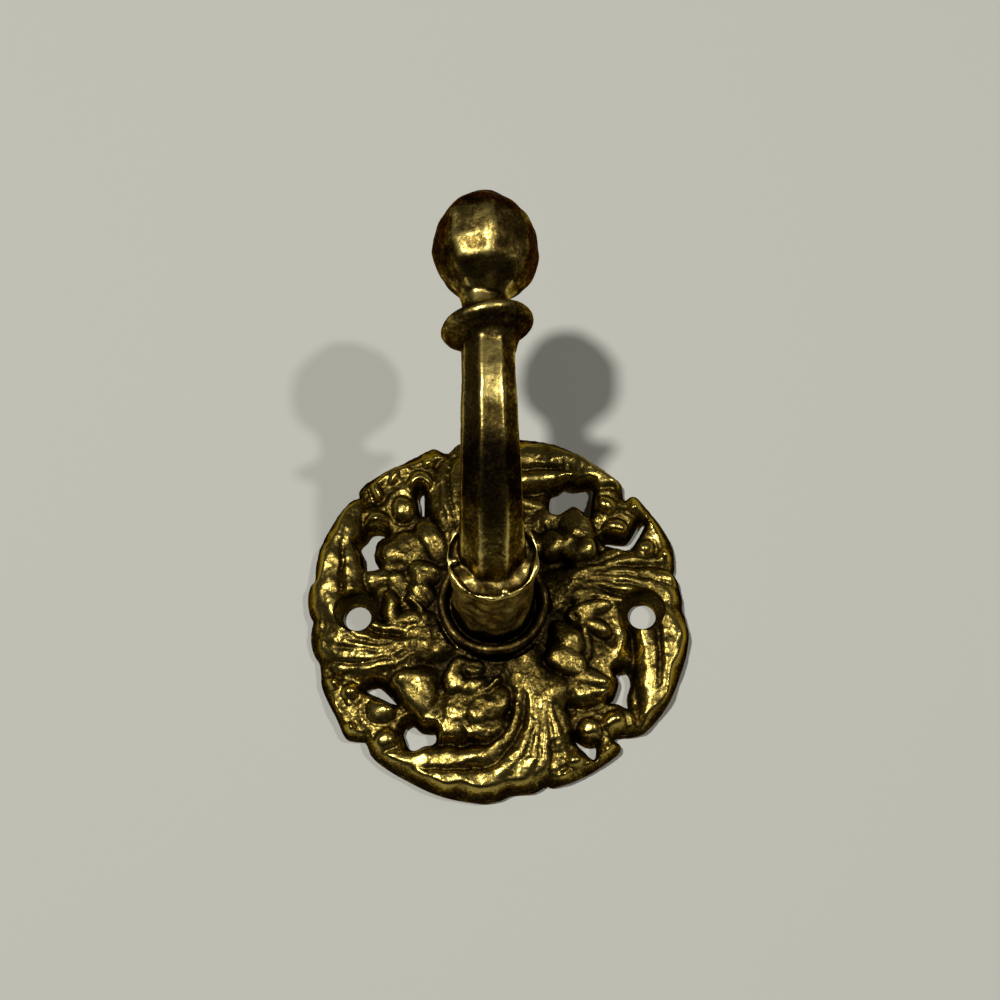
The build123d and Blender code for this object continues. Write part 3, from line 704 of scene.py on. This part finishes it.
cutters = bmesh.new()
for outline in openings:
    prism(cutters, outline, -PRISM_REACH, BEHIND)
hole = [(0, -BEHIND), (HOLE_RADIUS, -BEHIND), (HOLE_RADIUS, HOLE_DEPTH), (RECESS_RADIUS, RECESS_DEPTH),
        (RECESS_RADIUS, PRISM_REACH), (0, PRISM_REACH)]
hollow = [(0, -BEHIND), (DISH_RADIUS, -BEHIND), (DISH_RADIUS, 0), (SPOT_RADIUS, DISH_DEPTH),
          (SPOT_RADIUS, SPOT_DEPTH), (SHANK_RADIUS, SPOT_DEPTH), (SHANK_RADIUS, PRISM_REACH),
          (0, PRISM_REACH)]
for hole_x in (-HOLE_X, HOLE_X):
    spin_round(cutters, hole, ROUND_STEPS, Matrix.Translation((hole_x, 0, 0)) @ OUT)
spin_round(cutters, hollow, ROUND_STEPS, Matrix.Translation((HUB_X, 0, 0)) @ OUT)
bmesh.ops.recalc_face_normals(cutters, faces=cutters.faces)
block = combine(block, mesh_from(cutters, "cutters"), "DIFFERENCE")
print("casting:", len(block.vertices), "points, openings:", len(openings))

# %% [markdown]
# The cuts have given the mesh new points, so the wear goes on last: each point near the front takes it
# from the grid point beside it, and the sides and the back get one even value.

# %% Keep the high spots with the mesh
BACK_WEAR = -0.25
NEAR_FRONT = 0.5

spots = np.empty(3 * len(block.vertices))
block.vertices.foreach_get("co", spots)
spots = spots.reshape(-1, 3)
cell = 2 * GRID_HALF / GRID_CELLS
column = np.clip(np.rint((spots[:, 0] + GRID_HALF) / cell).astype(int), 0, GRID_CELLS)
row = np.clip(np.rint((spots[:, 2] + GRID_HALF) / cell).astype(int), 0, GRID_CELLS)
in_front = -spots[:, 1] > field[row, column] - NEAR_FRONT
wear_and_painted_light = np.where(in_front, stands_out_and_shade[row, column], BACK_WEAR)
block.attributes.new("wear_and_painted_light", "FLOAT", "POINT").data.foreach_set("value", wear_and_painted_light)
rosette = piece_from(block, "rosette", "rosette_plate")

# %% [markdown]
# ## The arm
# The arm is one casting too. Its foot, drum, collar and neck are turned shapes, so each is a profile
# spun round an axis. The ball is the same with only eight steps, which leaves flat facets, and a noise
# pulls its corners about, because it was filed by eye. The collar sits a little askew on the bar, and
# two small lumps of metal were left in the cup at the drum's end.

# %% Turned parts of the arm
ARM_REACH = 43.0
ARM_LEAN = -1.0
BAR_WIDTH, BAR_TOP_WIDTH = 10.4, 7.7
BEND_RADIUS = 25.0
FOOT_HEIGHT, FOOT_BEAD = 2.6, 0.8
DRUM_LIP, LIP_RADIUS, LIP_ROUND = 28.5, 6.75, 0.25
COLLAR_HEIGHT, COLLAR_RADIUS, COLLAR_ROUND = 31.2, 7.1, 1.2
COLLAR_TILT = 9.5
NECK_RADIUS, NECK_TOP = 3.1, 37.4
BALL_RADIUS, BALL_DRAW = 7.9, 1.6
BALL_TURN = 8.0
BALL_UNEVEN, BALL_SEED, BALL_NOISE = 0.75, 5, 0.37
BALL_START = 2          # the ball's own points lie this far over the neck
CUP_LUMPS = [(-5.75, -0.6), (1.75, -5.7)]
LUMP_RADIUS, LUMP_OUT = 0.7, 28.1
SIDES = 8
TURNED_STEPS = 120


def arc(middle, radius, start, end, steps=8):
    turns = np.radians(np.linspace(start, end, steps))
    return [(middle[0] + radius * math.cos(turn), middle[1] + radius * math.sin(turn)) for turn in turns]


stem = Matrix.Translation((HUB_X, 0, 0)) @ Matrix.Rotation(math.radians(ARM_LEAN), 4, "Y")
upright = stem @ Matrix.Translation((0, -ARM_REACH, 0))
arm = bmesh.new()
foot_top = SEAT_HEIGHT + FOOT_HEIGHT
foot = [(0, SEAT_HEIGHT), (FOOT_RADIUS - 0.5, SEAT_HEIGHT), (FOOT_RADIUS, SEAT_HEIGHT + 0.6),
        *arc((FOOT_RADIUS - FOOT_BEAD, foot_top - FOOT_BEAD), FOOT_BEAD, 0, 180)]
drum = [(7.2, foot_top - 1.6), (6.9, foot_top - 2.0), (6.5, foot_top - 1.6), (6.35, foot_top),
        (6.2, foot_top + 3), (6.15, 18), (6.2, 22.5), (6.4, 25.5), (6.8, 27.6), (6.95, 28.1)]
cup = [*arc((LIP_RADIUS, DRUM_LIP - LIP_ROUND), LIP_ROUND, 0, 180, 5), (6.2, 27.3), (0, 27.2)]
spin_round(arm, foot + drum + cup, TURNED_STEPS, stem @ OUT)

cove = [(0, 26.2), (3.4, 26.3), (3.9, 27.5), (4.7, 28.9)]
rim_arc = arc((COLLAR_RADIUS - COLLAR_ROUND, COLLAR_HEIGHT), COLLAR_ROUND, -75, 88)
neck = [(4.4, 32.5), (3.6, 33.1), (3.2, 34.2), (NECK_RADIUS, 36), (3.3, NECK_TOP), (0, NECK_TOP + 1)]
tilt = Matrix.Translation((0, 0, COLLAR_HEIGHT)) @ Matrix.Rotation(math.radians(-COLLAR_TILT), 4, "Y")
collar_place = upright @ tilt @ Matrix.Translation((0, 0, -COLLAR_HEIGHT))
spin_round(arm, cove + rim_arc + neck, TURNED_STEPS, collar_place)

ball_middle = arm_top - BALL_RADIUS - BALL_DRAW
corner = 1 / math.cos(math.pi / SIDES)
ball_rows = [(0, -9.4), (3.2, -8.6), (4.4, -7.3), (6.8, -5.0), (7.8, -1.0), (7.3, 3.4), (5.1, 6.9),
             (2.1, 9.0), (0, BALL_RADIUS + BALL_DRAW)]
ball = [(radius * corner, level) for radius, level in ball_rows]
ball_verts = spin_round(arm, ball, SIDES, upright @ Matrix.Translation((0, 0, ball_middle))
                        @ Matrix.Rotation(math.radians(BALL_TURN), 4, "Z"))
noise.seed_set(BALL_SEED)
for vert in ball_verts:
    if vert.co.z > NECK_TOP + BALL_START:
        vert.co += BALL_UNEVEN * noise.noise_vector(vert.co * BALL_NOISE)
for lump_x, lump_z in CUP_LUMPS:
    bmesh.ops.create_icosphere(arm, subdivisions=2, radius=LUMP_RADIUS,
                               matrix=stem @ Matrix.Translation((lump_x, -LUMP_OUT, lump_z)))
print("turned parts:", len(arm.faces), "faces")

# %% [markdown]
# The bar is an octagon that starts inside the drum. Ring after ring is pulled out of it, turned about
# the bend's centre, drawn in and given a little twist, until it stands upright under the collar.

# %% The bar
BAR_START = 12.0
BEND_STEPS = 24
BAR_TWIST = 8.5

bend_out = ARM_REACH - BEND_RADIUS
corner_reach = BAR_WIDTH / 2 * corner
ring = bmesh.ops.create_circle(arm, segments=SIDES, radius=corner_reach)["verts"]
bmesh.ops.transform(arm, verts=ring, matrix=Matrix.Translation((0, -BAR_START, 0)) @ OUT
                    @ Matrix.Rotation(math.pi / SIDES, 4, "Z"))
bar_verts = list(ring)
loop = list(dict.fromkeys(edge for vert in ring for edge in vert.link_edges))
start_cap = loop


def pushed(loop):
    # Pulls a new ring out of a ring's edges
    made = bmesh.ops.extrude_edge_only(arm, edges=loop)["geom"]
    verts = [item for item in made if isinstance(item, bmesh.types.BMVert)]
    bar_verts.extend(verts)
    around = dict.fromkeys(edge for vert in verts for edge in vert.link_edges)
    edges = [edge for edge in around if edge.verts[0] in verts and edge.verts[1] in verts]
    return edges, verts


loop, ring = pushed(loop)
bmesh.ops.translate(arm, verts=ring, vec=(0, BAR_START - bend_out, 0))
for step in range(BEND_STEPS):
    loop, ring = pushed(loop)
    bmesh.ops.rotate(arm, verts=ring, cent=(0, -bend_out, BEND_RADIUS),
                     matrix=Matrix.Rotation(-math.pi / 2 / BEND_STEPS, 3, "X"))
    widths = [BAR_WIDTH + (BAR_TOP_WIDTH - BAR_WIDTH) * s / BEND_STEPS for s in (step, step + 1)]
    narrow = widths[1] / widths[0]
    middle = sum((vert.co for vert in ring), Vector()) / SIDES
    bmesh.ops.scale(arm, verts=ring, vec=(narrow, narrow, narrow), space=Matrix.Translation(-middle))
    turn = math.pi / 2 * (step + 1) / BEND_STEPS
    along = Vector((0, -math.cos(turn), math.sin(turn)))
    twist = Matrix.Rotation(math.radians(BAR_TWIST) / BEND_STEPS, 3, along)
    bmesh.ops.rotate(arm, verts=ring, cent=middle, matrix=twist)
loop, ring = pushed(loop)
bmesh.ops.translate(arm, verts=ring, vec=(0, 0, COLLAR_HEIGHT - BEND_RADIUS))
for cap in (start_cap, loop):
    bmesh.ops.contextual_create(arm, geom=cap)
bmesh.ops.transform(arm, verts=bar_verts, matrix=stem)
bmesh.ops.recalc_face_normals(arm, faces=arm.faces)
print("arm before remesh:", len(arm.verts), "points")

# %% [markdown]
# A fine remesh melts these shapes into one skin with soft edges. The facets were filed by hand, so a
# slow noise moves them by about a tenth of a millimetre, which breaks the reflections up. The drum was
# left lumpy and moves by several tenths. A point's wear is how far it stands out from the mean of its
# neighbours, with more where hands reach. Light is painted into it too: a painted sheen, partly real
# polish, on what faces the room, a painted highlight on the neck, a painted reflection on the drum, and
# a painted dark reflection low on the bend's front and on the collar. The foot and the ball are made darker.

# %% Melt the arm into one skin, wear it and paint light on it
ARM_VOXEL = 0.24
FILED_SIZE, FILED_DEPTH = 4.0, 0.14
CAST_SIZE, CAST_DEPTH = 1.1, 0.035
CUP_SIZE, CUP_DEPTH = 2.3, 0.58
DRUM_EVEN = 0.65        # dirt and wear are this much more even on the drum
CUP_END, CUP_FADE = 30.0, 3
DRUM_START, DRUM_FADE = 1, 4
BORE_RADIUS, BORE_END = 2.55, 17.8
SMOOTHING, BALL_SMOOTHING = 3, 48
HAMMERED_SIZE, HAMMERED_DEPTH = 2.4, 0.16   # soft flats on the ball
WEAR_STEPS, EDGE_RUB = 14, 0.75
FRONT_RUB_AND_SHEEN = 0.058       # what faces the room, from this height up, is brighter: partly hands' polish, partly painted sheen
RUB_AND_SHEEN_START, RUB_AND_SHEEN_FADE = 16.0, 4
FACING, FACING_FADE = 0.8, 0.15     # how squarely it faces the room
# Painted highlight on the neck and painted reflection on the drum
NECK_MIDDLE, NECK_REACH, NECK_HIGHLIGHT, DRUM_REFLECTION = 35.5, 2.5, 0.06, 0.05
BEND_DARK_REFLECTION, BEND_DARK_HEIGHT, BEND_DARK_REACH = 0.14, 8.5, 4.5   # painted dark reflection on the front of the bend's lower part
BEND_DARK_FACING, BEND_DARK_FADE = 0.2, 0.3
FOOT_DARKENING, COLLAR_DARK_REFLECTION, BALL_DARKENING = 0.14, 0.09, 0.038    # painted dark reflection on the collar; the foot and the ball are made darker
FOOT_REACH, FOOT_FADE, COLLAR_REACH = 4.5, 1.5, 3.5


def coordinates(mesh):
    flat_list = np.empty(3 * len(mesh.vertices))
    mesh.vertices.foreach_get("co", flat_list)
    return flat_list.reshape(-1, 3)


def neighbour_mean(points, links):
    total = np.zeros_like(points)
    count = np.bincount(links.ravel(), minlength=len(points))
    for axis in range(3):
        total[:, axis] = (np.bincount(links[:, 0], points[links[:, 1], axis], len(points))
                          + np.bincount(links[:, 1], points[links[:, 0], axis], len(points)))
    return total / np.maximum(count, 1)[:, None]


def edge_links(mesh):
    links = np.empty(2 * len(mesh.edges), int)
    mesh.edges.foreach_get("vertices", links)
    return links.reshape(-1, 2)


arm_mesh = with_modifier(mesh_from(arm, "arm"), "REMESH", mode="VOXEL", voxel_size=ARM_VOXEL)
points, links = coordinates(arm_mesh), edge_links(arm_mesh)
on_ball = (points[:, 2] > NECK_TOP)[:, None]
for step in range(BALL_SMOOTHING):
    eased = 0.5 * (points + neighbour_mean(points, links))
    points = eased if step < SMOOTHING else np.where(on_ball, eased, points)
normals = np.array([vert.normal for vert in arm_mesh.vertices])
filed = FILED_DEPTH * cast_noise(FILED_SIZE, points) + CAST_DEPTH * cast_noise(CAST_SIZE, points)
before_lip = np.clip((CUP_END + points[:, 1]) / CUP_FADE, 0, 1)
by_cup = before_lip * np.clip((-points[:, 1] - SEAT_HEIGHT - DRUM_START) / DRUM_FADE, 0, 1)
filed += by_cup * CUP_DEPTH * cast_noise(CUP_SIZE, points)
filed += on_ball[:, 0] * HAMMERED_DEPTH * cast_noise(HAMMERED_SIZE, points)
points += normals * filed[:, None]
points[:, 1] = np.minimum(points[:, 1], -SEAT_HEIGHT)
arm_mesh.vertices.foreach_set("co", points.ravel())
softened = points
for _ in range(WEAR_STEPS):
    softened = neighbour_mean(softened, links)
wear_and_painted_light = EDGE_RUB * ((points - softened) * normals).sum(1)
# Partly hands' polish, partly painted sheen: what faces the room higher up is made brighter
high_up = np.clip((points[:, 2] - RUB_AND_SHEEN_START) / RUB_AND_SHEEN_FADE, 0, 1)
wear_and_painted_light += FRONT_RUB_AND_SHEEN * high_up * np.clip((-normals[:, 1] - FACING) / FACING_FADE, 0, 1)
by_collar = np.clip(1 - np.abs(points[:, 2] - COLLAR_HEIGHT) / COLLAR_REACH, 0, 1)
by_neck = np.clip(1 - np.abs(points[:, 2] - NECK_MIDDLE) / NECK_REACH, 0, 1)
wear_and_painted_light *= 1 - DRUM_EVEN * by_cup
# Painted highlight on the neck, painted reflection on the drum
wear_and_painted_light += NECK_HIGHLIGHT * by_neck + DRUM_REFLECTION * by_cup
# Painted dark reflection on the front of the bend's lower part
below = np.clip((-normals[:, 1] - BEND_DARK_FACING) / BEND_DARK_FADE, 0, 1) * (points[:, 1] < -CUP_END)
wear_and_painted_light -= BEND_DARK_REFLECTION * below * np.exp(-(((points[:, 2] - BEND_DARK_HEIGHT) / BEND_DARK_REACH) ** 2))
by_foot = np.clip((SEAT_HEIGHT + FOOT_REACH + points[:, 1]) / FOOT_FADE, 0, 1)
# Painted dark reflection on the collar, and a darker foot and ball
wear_and_painted_light -= np.maximum.reduce([FOOT_DARKENING * by_foot, COLLAR_DARK_REFLECTION * by_collar, BALL_DARKENING * on_ball[:, 0]])
arm_mesh.attributes.new("wear_and_painted_light", "FLOAT", "POINT").data.foreach_set("value", wear_and_painted_light)

bore = bmesh.new()
spin_round(bore, [(0, 0), (BORE_RADIUS, 0), (BORE_RADIUS, BORE_END), (0, BORE_END)], ROUND_STEPS, stem @ OUT)
bmesh.ops.recalc_face_normals(bore, faces=bore.faces)
arm_mesh = combine(arm_mesh, mesh_from(bore, "bore"), "DIFFERENCE")
arm_piece = piece_from(arm_mesh, "arm", "hook_arm")

# %% [markdown]
# ## Aged brass
# Cast brass that has hung for decades: bare yellow metal where hands and cloth rub it, brown patina on
# the sides and near-black dirt in the hollows. The wear that was measured above, with the painted
# shade, highlights and reflections added to it, picks between them, broken up by noise, and more so at
# the dark end. Rubbed metal is also smoother. Grain and the marks of the file are bump. The dull screw
# has no wear of its own and gets the middle of its colours.

# %% Shader helpers
def linear(hex_colour):
    # sRGB hex to the linear colour that shaders use
    parts = [int(hex_colour[i:i + 2], 16) / 255 for i in (1, 3, 5)]
    return [p / 12.92 if p <= 0.04045 else ((p + 0.055) / 1.055) ** 2.4 for p in parts] + [1.0]


def add_node(tree, kind, links=(), **settings):
    # One node with its settings; a link is (input, node, output), a value is set by input name or number
    node = tree.nodes.new(kind)
    for setting, value in settings.items():
        if setting == "values":
            for socket, number in value.items():
                node.inputs[socket].default_value = number
        else:
            setattr(node, setting, value)
    for socket, source, output in links:
        tree.links.new(source.outputs[output], node.inputs[socket])
    return node


def ramp_stops(node, stops):
    elements = node.color_ramp.elements
    stops = list(stops)
    while len(elements) < len(stops):
        elements.new(0.5)
    for element, (position, colour) in zip(elements, stops):
        element.position = position
        element.color = linear(colour) if isinstance(colour, str) else (colour, colour, colour, 1)


# %% Brass material
GRAIN_RISE = 0.14       # height of the grain's bump, in mm
SMOOTHED = 0.25         # share of the grain that is left where the brass is rubbed
DIRT_MOTTLING = 4.0     # dirt is this much more mottled than rubbed brass
TINT_START, TINT_FULL = 0.1, 0.55   # rubbing at which the edge tint is that of dirt and of metal
PATCH_MM, PATCH_DETAIL, PATCH_ROUGHNESS = 3.0, 5.0, 0.65
GRAIN_DETAIL, GRAIN_ROUGHNESS = 3.0, 0.6
MARK_STRENGTH, MARK_RISE, MARK_DETAIL = 0.35, 0.04, 2.0


def aged_brass(name, stops, edge_tints, roughness, grain_mm, grain_bump, wear_range, mottling, marks=None):
    # The edge tints, of dirt and of rubbed metal, keep old brass brown where it is seen at a slant
    material = bpy.data.materials.new(name)
    material.use_nodes = True
    tree = material.node_tree
    shader = tree.nodes["Principled BSDF"]
    shader.inputs["Metallic"].default_value = 1.0
    place = add_node(tree, "ShaderNodeTexCoord")
    wear_and_painted_light = add_node(tree, "ShaderNodeAttribute", attribute_name="wear_and_painted_light")
    spread = add_node(tree, "ShaderNodeMapRange", [("Value", wear_and_painted_light, "Fac")], interpolation_type="SMOOTHSTEP",
                      values={"From Min": wear_range[0], "From Max": wear_range[1]})
    patch = add_node(tree, "ShaderNodeTexNoise", [("Vector", place, "Object")],
                     values={"Scale": 1 / (PATCH_MM * MM), "Detail": PATCH_DETAIL,
                             "Roughness": PATCH_ROUGHNESS})
    grain = add_node(tree, "ShaderNodeTexNoise", [("Vector", place, "Object")],
                     values={"Scale": 1 / (grain_mm * MM), "Detail": GRAIN_DETAIL,
                             "Roughness": GRAIN_ROUGHNESS})
    uneven = add_node(tree, "ShaderNodeMath", [(0, patch, "Fac"), (1, grain, "Fac")], operation="ADD")
    centred = add_node(tree, "ShaderNodeMath", [(0, uneven, 0)], operation="ADD", values={1: -1.0})
    gain = add_node(tree, "ShaderNodeMapRange", [("Value", spread, 0)],
                    values={"To Min": mottling * DIRT_MOTTLING, "To Max": mottling})
    rubbed_and_painted_light = add_node(tree, "ShaderNodeMath", [(0, centred, 0), (1, gain, 0), (2, spread, 0)],
                      operation="MULTIPLY_ADD", use_clamp=True)
    colour = add_node(tree, "ShaderNodeValToRGB", [("Fac", rubbed_and_painted_light, 0)])
    ramp_stops(colour, stops)
    tree.links.new(colour.outputs["Color"], shader.inputs["Base Color"])
    slant = add_node(tree, "ShaderNodeValToRGB", [("Fac", rubbed_and_painted_light, 0)])
    ramp_stops(slant, zip((TINT_START, TINT_FULL), edge_tints))
    tree.links.new(slant.outputs["Color"], shader.inputs["Specular Tint"])
    rough = add_node(tree, "ShaderNodeMapRange", [("Value", rubbed_and_painted_light, 0)],
                     values={"To Min": roughness[0], "To Max": roughness[1]})
    tree.links.new(rough.outputs[0], shader.inputs["Roughness"])
    pitted = add_node(tree, "ShaderNodeMapRange", [("Value", rubbed_and_painted_light, 0)],
                      values={"To Min": grain_bump, "To Max": grain_bump * SMOOTHED})
    bump = add_node(tree, "ShaderNodeBump", [("Height", grain, "Fac"), ("Strength", pitted, 0)],
                    values={"Distance": GRAIN_RISE * MM})
    if marks:
        turned_place = add_node(tree, "ShaderNodeMapping", [("Vector", place, "Object")],
                                values={"Scale": marks})
        scratch = add_node(tree, "ShaderNodeTexNoise", [("Vector", turned_place, 0)],
                           values={"Scale": 1 / MM, "Detail": MARK_DETAIL})
        bump = add_node(tree, "ShaderNodeBump", [("Height", scratch, "Fac"), ("Normal", bump, 0)],
                        values={"Strength": MARK_STRENGTH, "Distance": MARK_RISE * MM})
    tree.links.new(bump.outputs[0], shader.inputs["Normal"])
    return material


ROSETTE_STOPS = [(0.0, "#292010"), (0.25, "#3F3316"), (0.55, "#59491E"), (0.87, "#AE984F")]
ARM_STOPS = [(0.0, "#171008"), (0.33, "#362A12"), (0.62, "#5C4C23"), (0.92, "#CDB668")]
SCREW_STOPS = [(0.0, "#3A2B12"), (0.5, "#8C7034"), (1.0, "#C2A255")]
rosette.data.materials.append(aged_brass(
    "aged_cast_brass", ROSETTE_STOPS, edge_tints=("#4A3D20", "#C8B27A"), roughness=(0.5, 0.24),
    grain_mm=0.35, grain_bump=0.9, wear_range=(-1.3, 1.05), mottling=0.6))
arm_piece.data.materials.append(aged_brass(
    "filed_brass", ARM_STOPS, edge_tints=("#8A7546", "#A08A54"), roughness=(0.55, 0.28),
    grain_mm=0.5, grain_bump=0.4, wear_range=(-0.16, 0.16), mottling=0.4, marks=(0.6, 0.6, 4.0)))
screw_brass = aged_brass(
    "dull_turned_brass", SCREW_STOPS, edge_tints=("#8A7546", "#C8B27A"), roughness=(0.5, 0.35),
    grain_mm=0.5, grain_bump=0.2, wear_range=(-1.0, 1.0), mottling=0.4)
screw_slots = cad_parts["fixing_screw"].data.materials
screw_slots.clear()
screw_slots.append(screw_brass)
print("materials:", [m.name for m in bpy.data.materials if m.users])

# %% [markdown]
# ## Wall, light and eye
# The hook hangs on a plain pale wall. Two small lamps stand in front of it, a strong one to the left
# and a weaker one to the right, so it throws two shadows. The room is dim, which gives the brass its
# contrast. Seen from behind, the wall is clear, so the hook's back can be looked at.

# %% Pale wall
WALL_HALF = 0.5
WALL_GAP = 0.0002
WALL_COLOUR = "#C3C2B7"
WALL_ROUGHNESS, WALL_GLOSS = 0.9, 0.1

wall_bm = bmesh.new()
bmesh.ops.create_grid(wall_bm, x_segments=1, y_segments=1, size=WALL_HALF)
bmesh.ops.rotate(wall_bm, verts=wall_bm.verts, matrix=Matrix.Rotation(math.radians(90), 3, "X"))
bmesh.ops.translate(wall_bm, verts=wall_bm.verts, vec=(0, WALL_GAP, 0))
wall = bpy.data.objects.new("wall", mesh_from(wall_bm, "wall"))
bpy.context.collection.objects.link(wall)
paint = bpy.data.materials.new("wall_paint")
paint.use_nodes = True
tree = paint.node_tree
matt = tree.nodes["Principled BSDF"]
matt.inputs["Base Color"].default_value = linear(WALL_COLOUR)
matt.inputs["Roughness"].default_value = WALL_ROUGHNESS
matt.inputs["Specular IOR Level"].default_value = WALL_GLOSS
side_seen = add_node(tree, "ShaderNodeNewGeometry")
ray = add_node(tree, "ShaderNodeLightPath")
clear = add_node(tree, "ShaderNodeMath", [(0, side_seen, "Backfacing"), (1, ray, "Is Shadow Ray")],
                 operation="MAXIMUM")
glass = add_node(tree, "ShaderNodeBsdfTransparent")
one_sided = add_node(tree, "ShaderNodeMixShader", [(0, clear, 0), (1, matt, 0), (2, glass, 0)])
tree.links.new(one_sided.outputs[0], tree.nodes["Material Output"].inputs["Surface"])
wall.data.materials.append(paint)
print("wall:", 2 * WALL_HALF, "m wide")

# %% [markdown]
# The world is the room that the brass mirrors. The camera sees a plain backdrop of the wall's colour
# in its place, past the wall's edge. The camera stands where the eye of the front view stood.

# %% Lamps, room and camera
# Lamp: direction from the hook, distance, width, power
LAMPS = {
    "left_lamp": ((-0.313, -1.0, 0.061), 1.3, 0.09, 12.2),
    "right_lamp": ((0.541, -1.0, 0.107), 1.3, 0.06, 4.4),
}
# Light of the room along an axis: where it starts and ends, and its strength there
ROOM_LIGHT = [("Z", -0.3, 0.9, 0.006, 0.05), ("Y", 0.0, 0.4, 0.0, 1.1), ("X", 0.1, 0.8, 0.0, 0.03)]
ROOM_COLOUR = "#FFF6E6"
CAMERA_PLACE = (0.0002, -0.3089, -0.1092)
CAMERA_PITCH, CAMERA_ROLL = 22.873, -0.347
LENS_MM, SENSOR_MM = 72.0, 36.0

for name, (direction, distance, size, power) in LAMPS.items():
    lamp = bpy.data.lights.new(name, "AREA")
    lamp.shape = "DISK"
    lamp.size = size
    lamp.energy = power
    holder = bpy.data.objects.new(name, lamp)
    bpy.context.collection.objects.link(holder)
    aim = Vector(direction).normalized()
    holder.location = aim * distance
    holder.rotation_euler = aim.to_track_quat("Z", "Y").to_euler()

scene = bpy.context.scene
scene.view_settings.view_transform = "Standard"
world = bpy.data.worlds.new("dim_room")
scene.world = world
world.use_nodes = True
tree = world.node_tree
view = add_node(tree, "ShaderNodeTexCoord")
axes = add_node(tree, "ShaderNodeSeparateXYZ", [(0, view, "Generated")])
parts = [add_node(tree, "ShaderNodeMapRange", [("Value", axes, axis)], interpolation_type="SMOOTHSTEP",
                  values={"From Min": start, "From Max": end, "To Min": low, "To Max": high})
         for axis, start, end, low, high in ROOM_LIGHT]
level = parts[0]
for part in parts[1:]:
    level = add_node(tree, "ShaderNodeMath", [(0, level, 0), (1, part, 0)], operation="ADD")
room = tree.nodes["Background"]
tree.links.new(level.outputs[0], room.inputs["Strength"])
room.inputs["Color"].default_value = linear(ROOM_COLOUR)
backdrop = add_node(tree, "ShaderNodeBackground", values={"Color": linear(WALL_COLOUR)})
ray = add_node(tree, "ShaderNodeLightPath")
chosen = add_node(tree, "ShaderNodeMixShader", [(0, ray, "Is Camera Ray"), (1, room, 0), (2, backdrop, 0)])
tree.links.new(chosen.outputs[0], tree.nodes["World Output"].inputs["Surface"])

camera = bpy.data.cameras.new("camera")
camera.lens = LENS_MM
camera.sensor_width = SENSOR_MM
eye = bpy.data.objects.new("camera", camera)
bpy.context.collection.objects.link(eye)
eye.location = CAMERA_PLACE
eye.rotation_euler = (Matrix.Rotation(math.radians(90 + CAMERA_PITCH), 3, "X")
                      @ Matrix.Rotation(math.radians(CAMERA_ROLL), 3, "Z")).to_euler()
scene.camera = eye
print("lamps:", list(LAMPS), "camera at", CAMERA_PLACE)
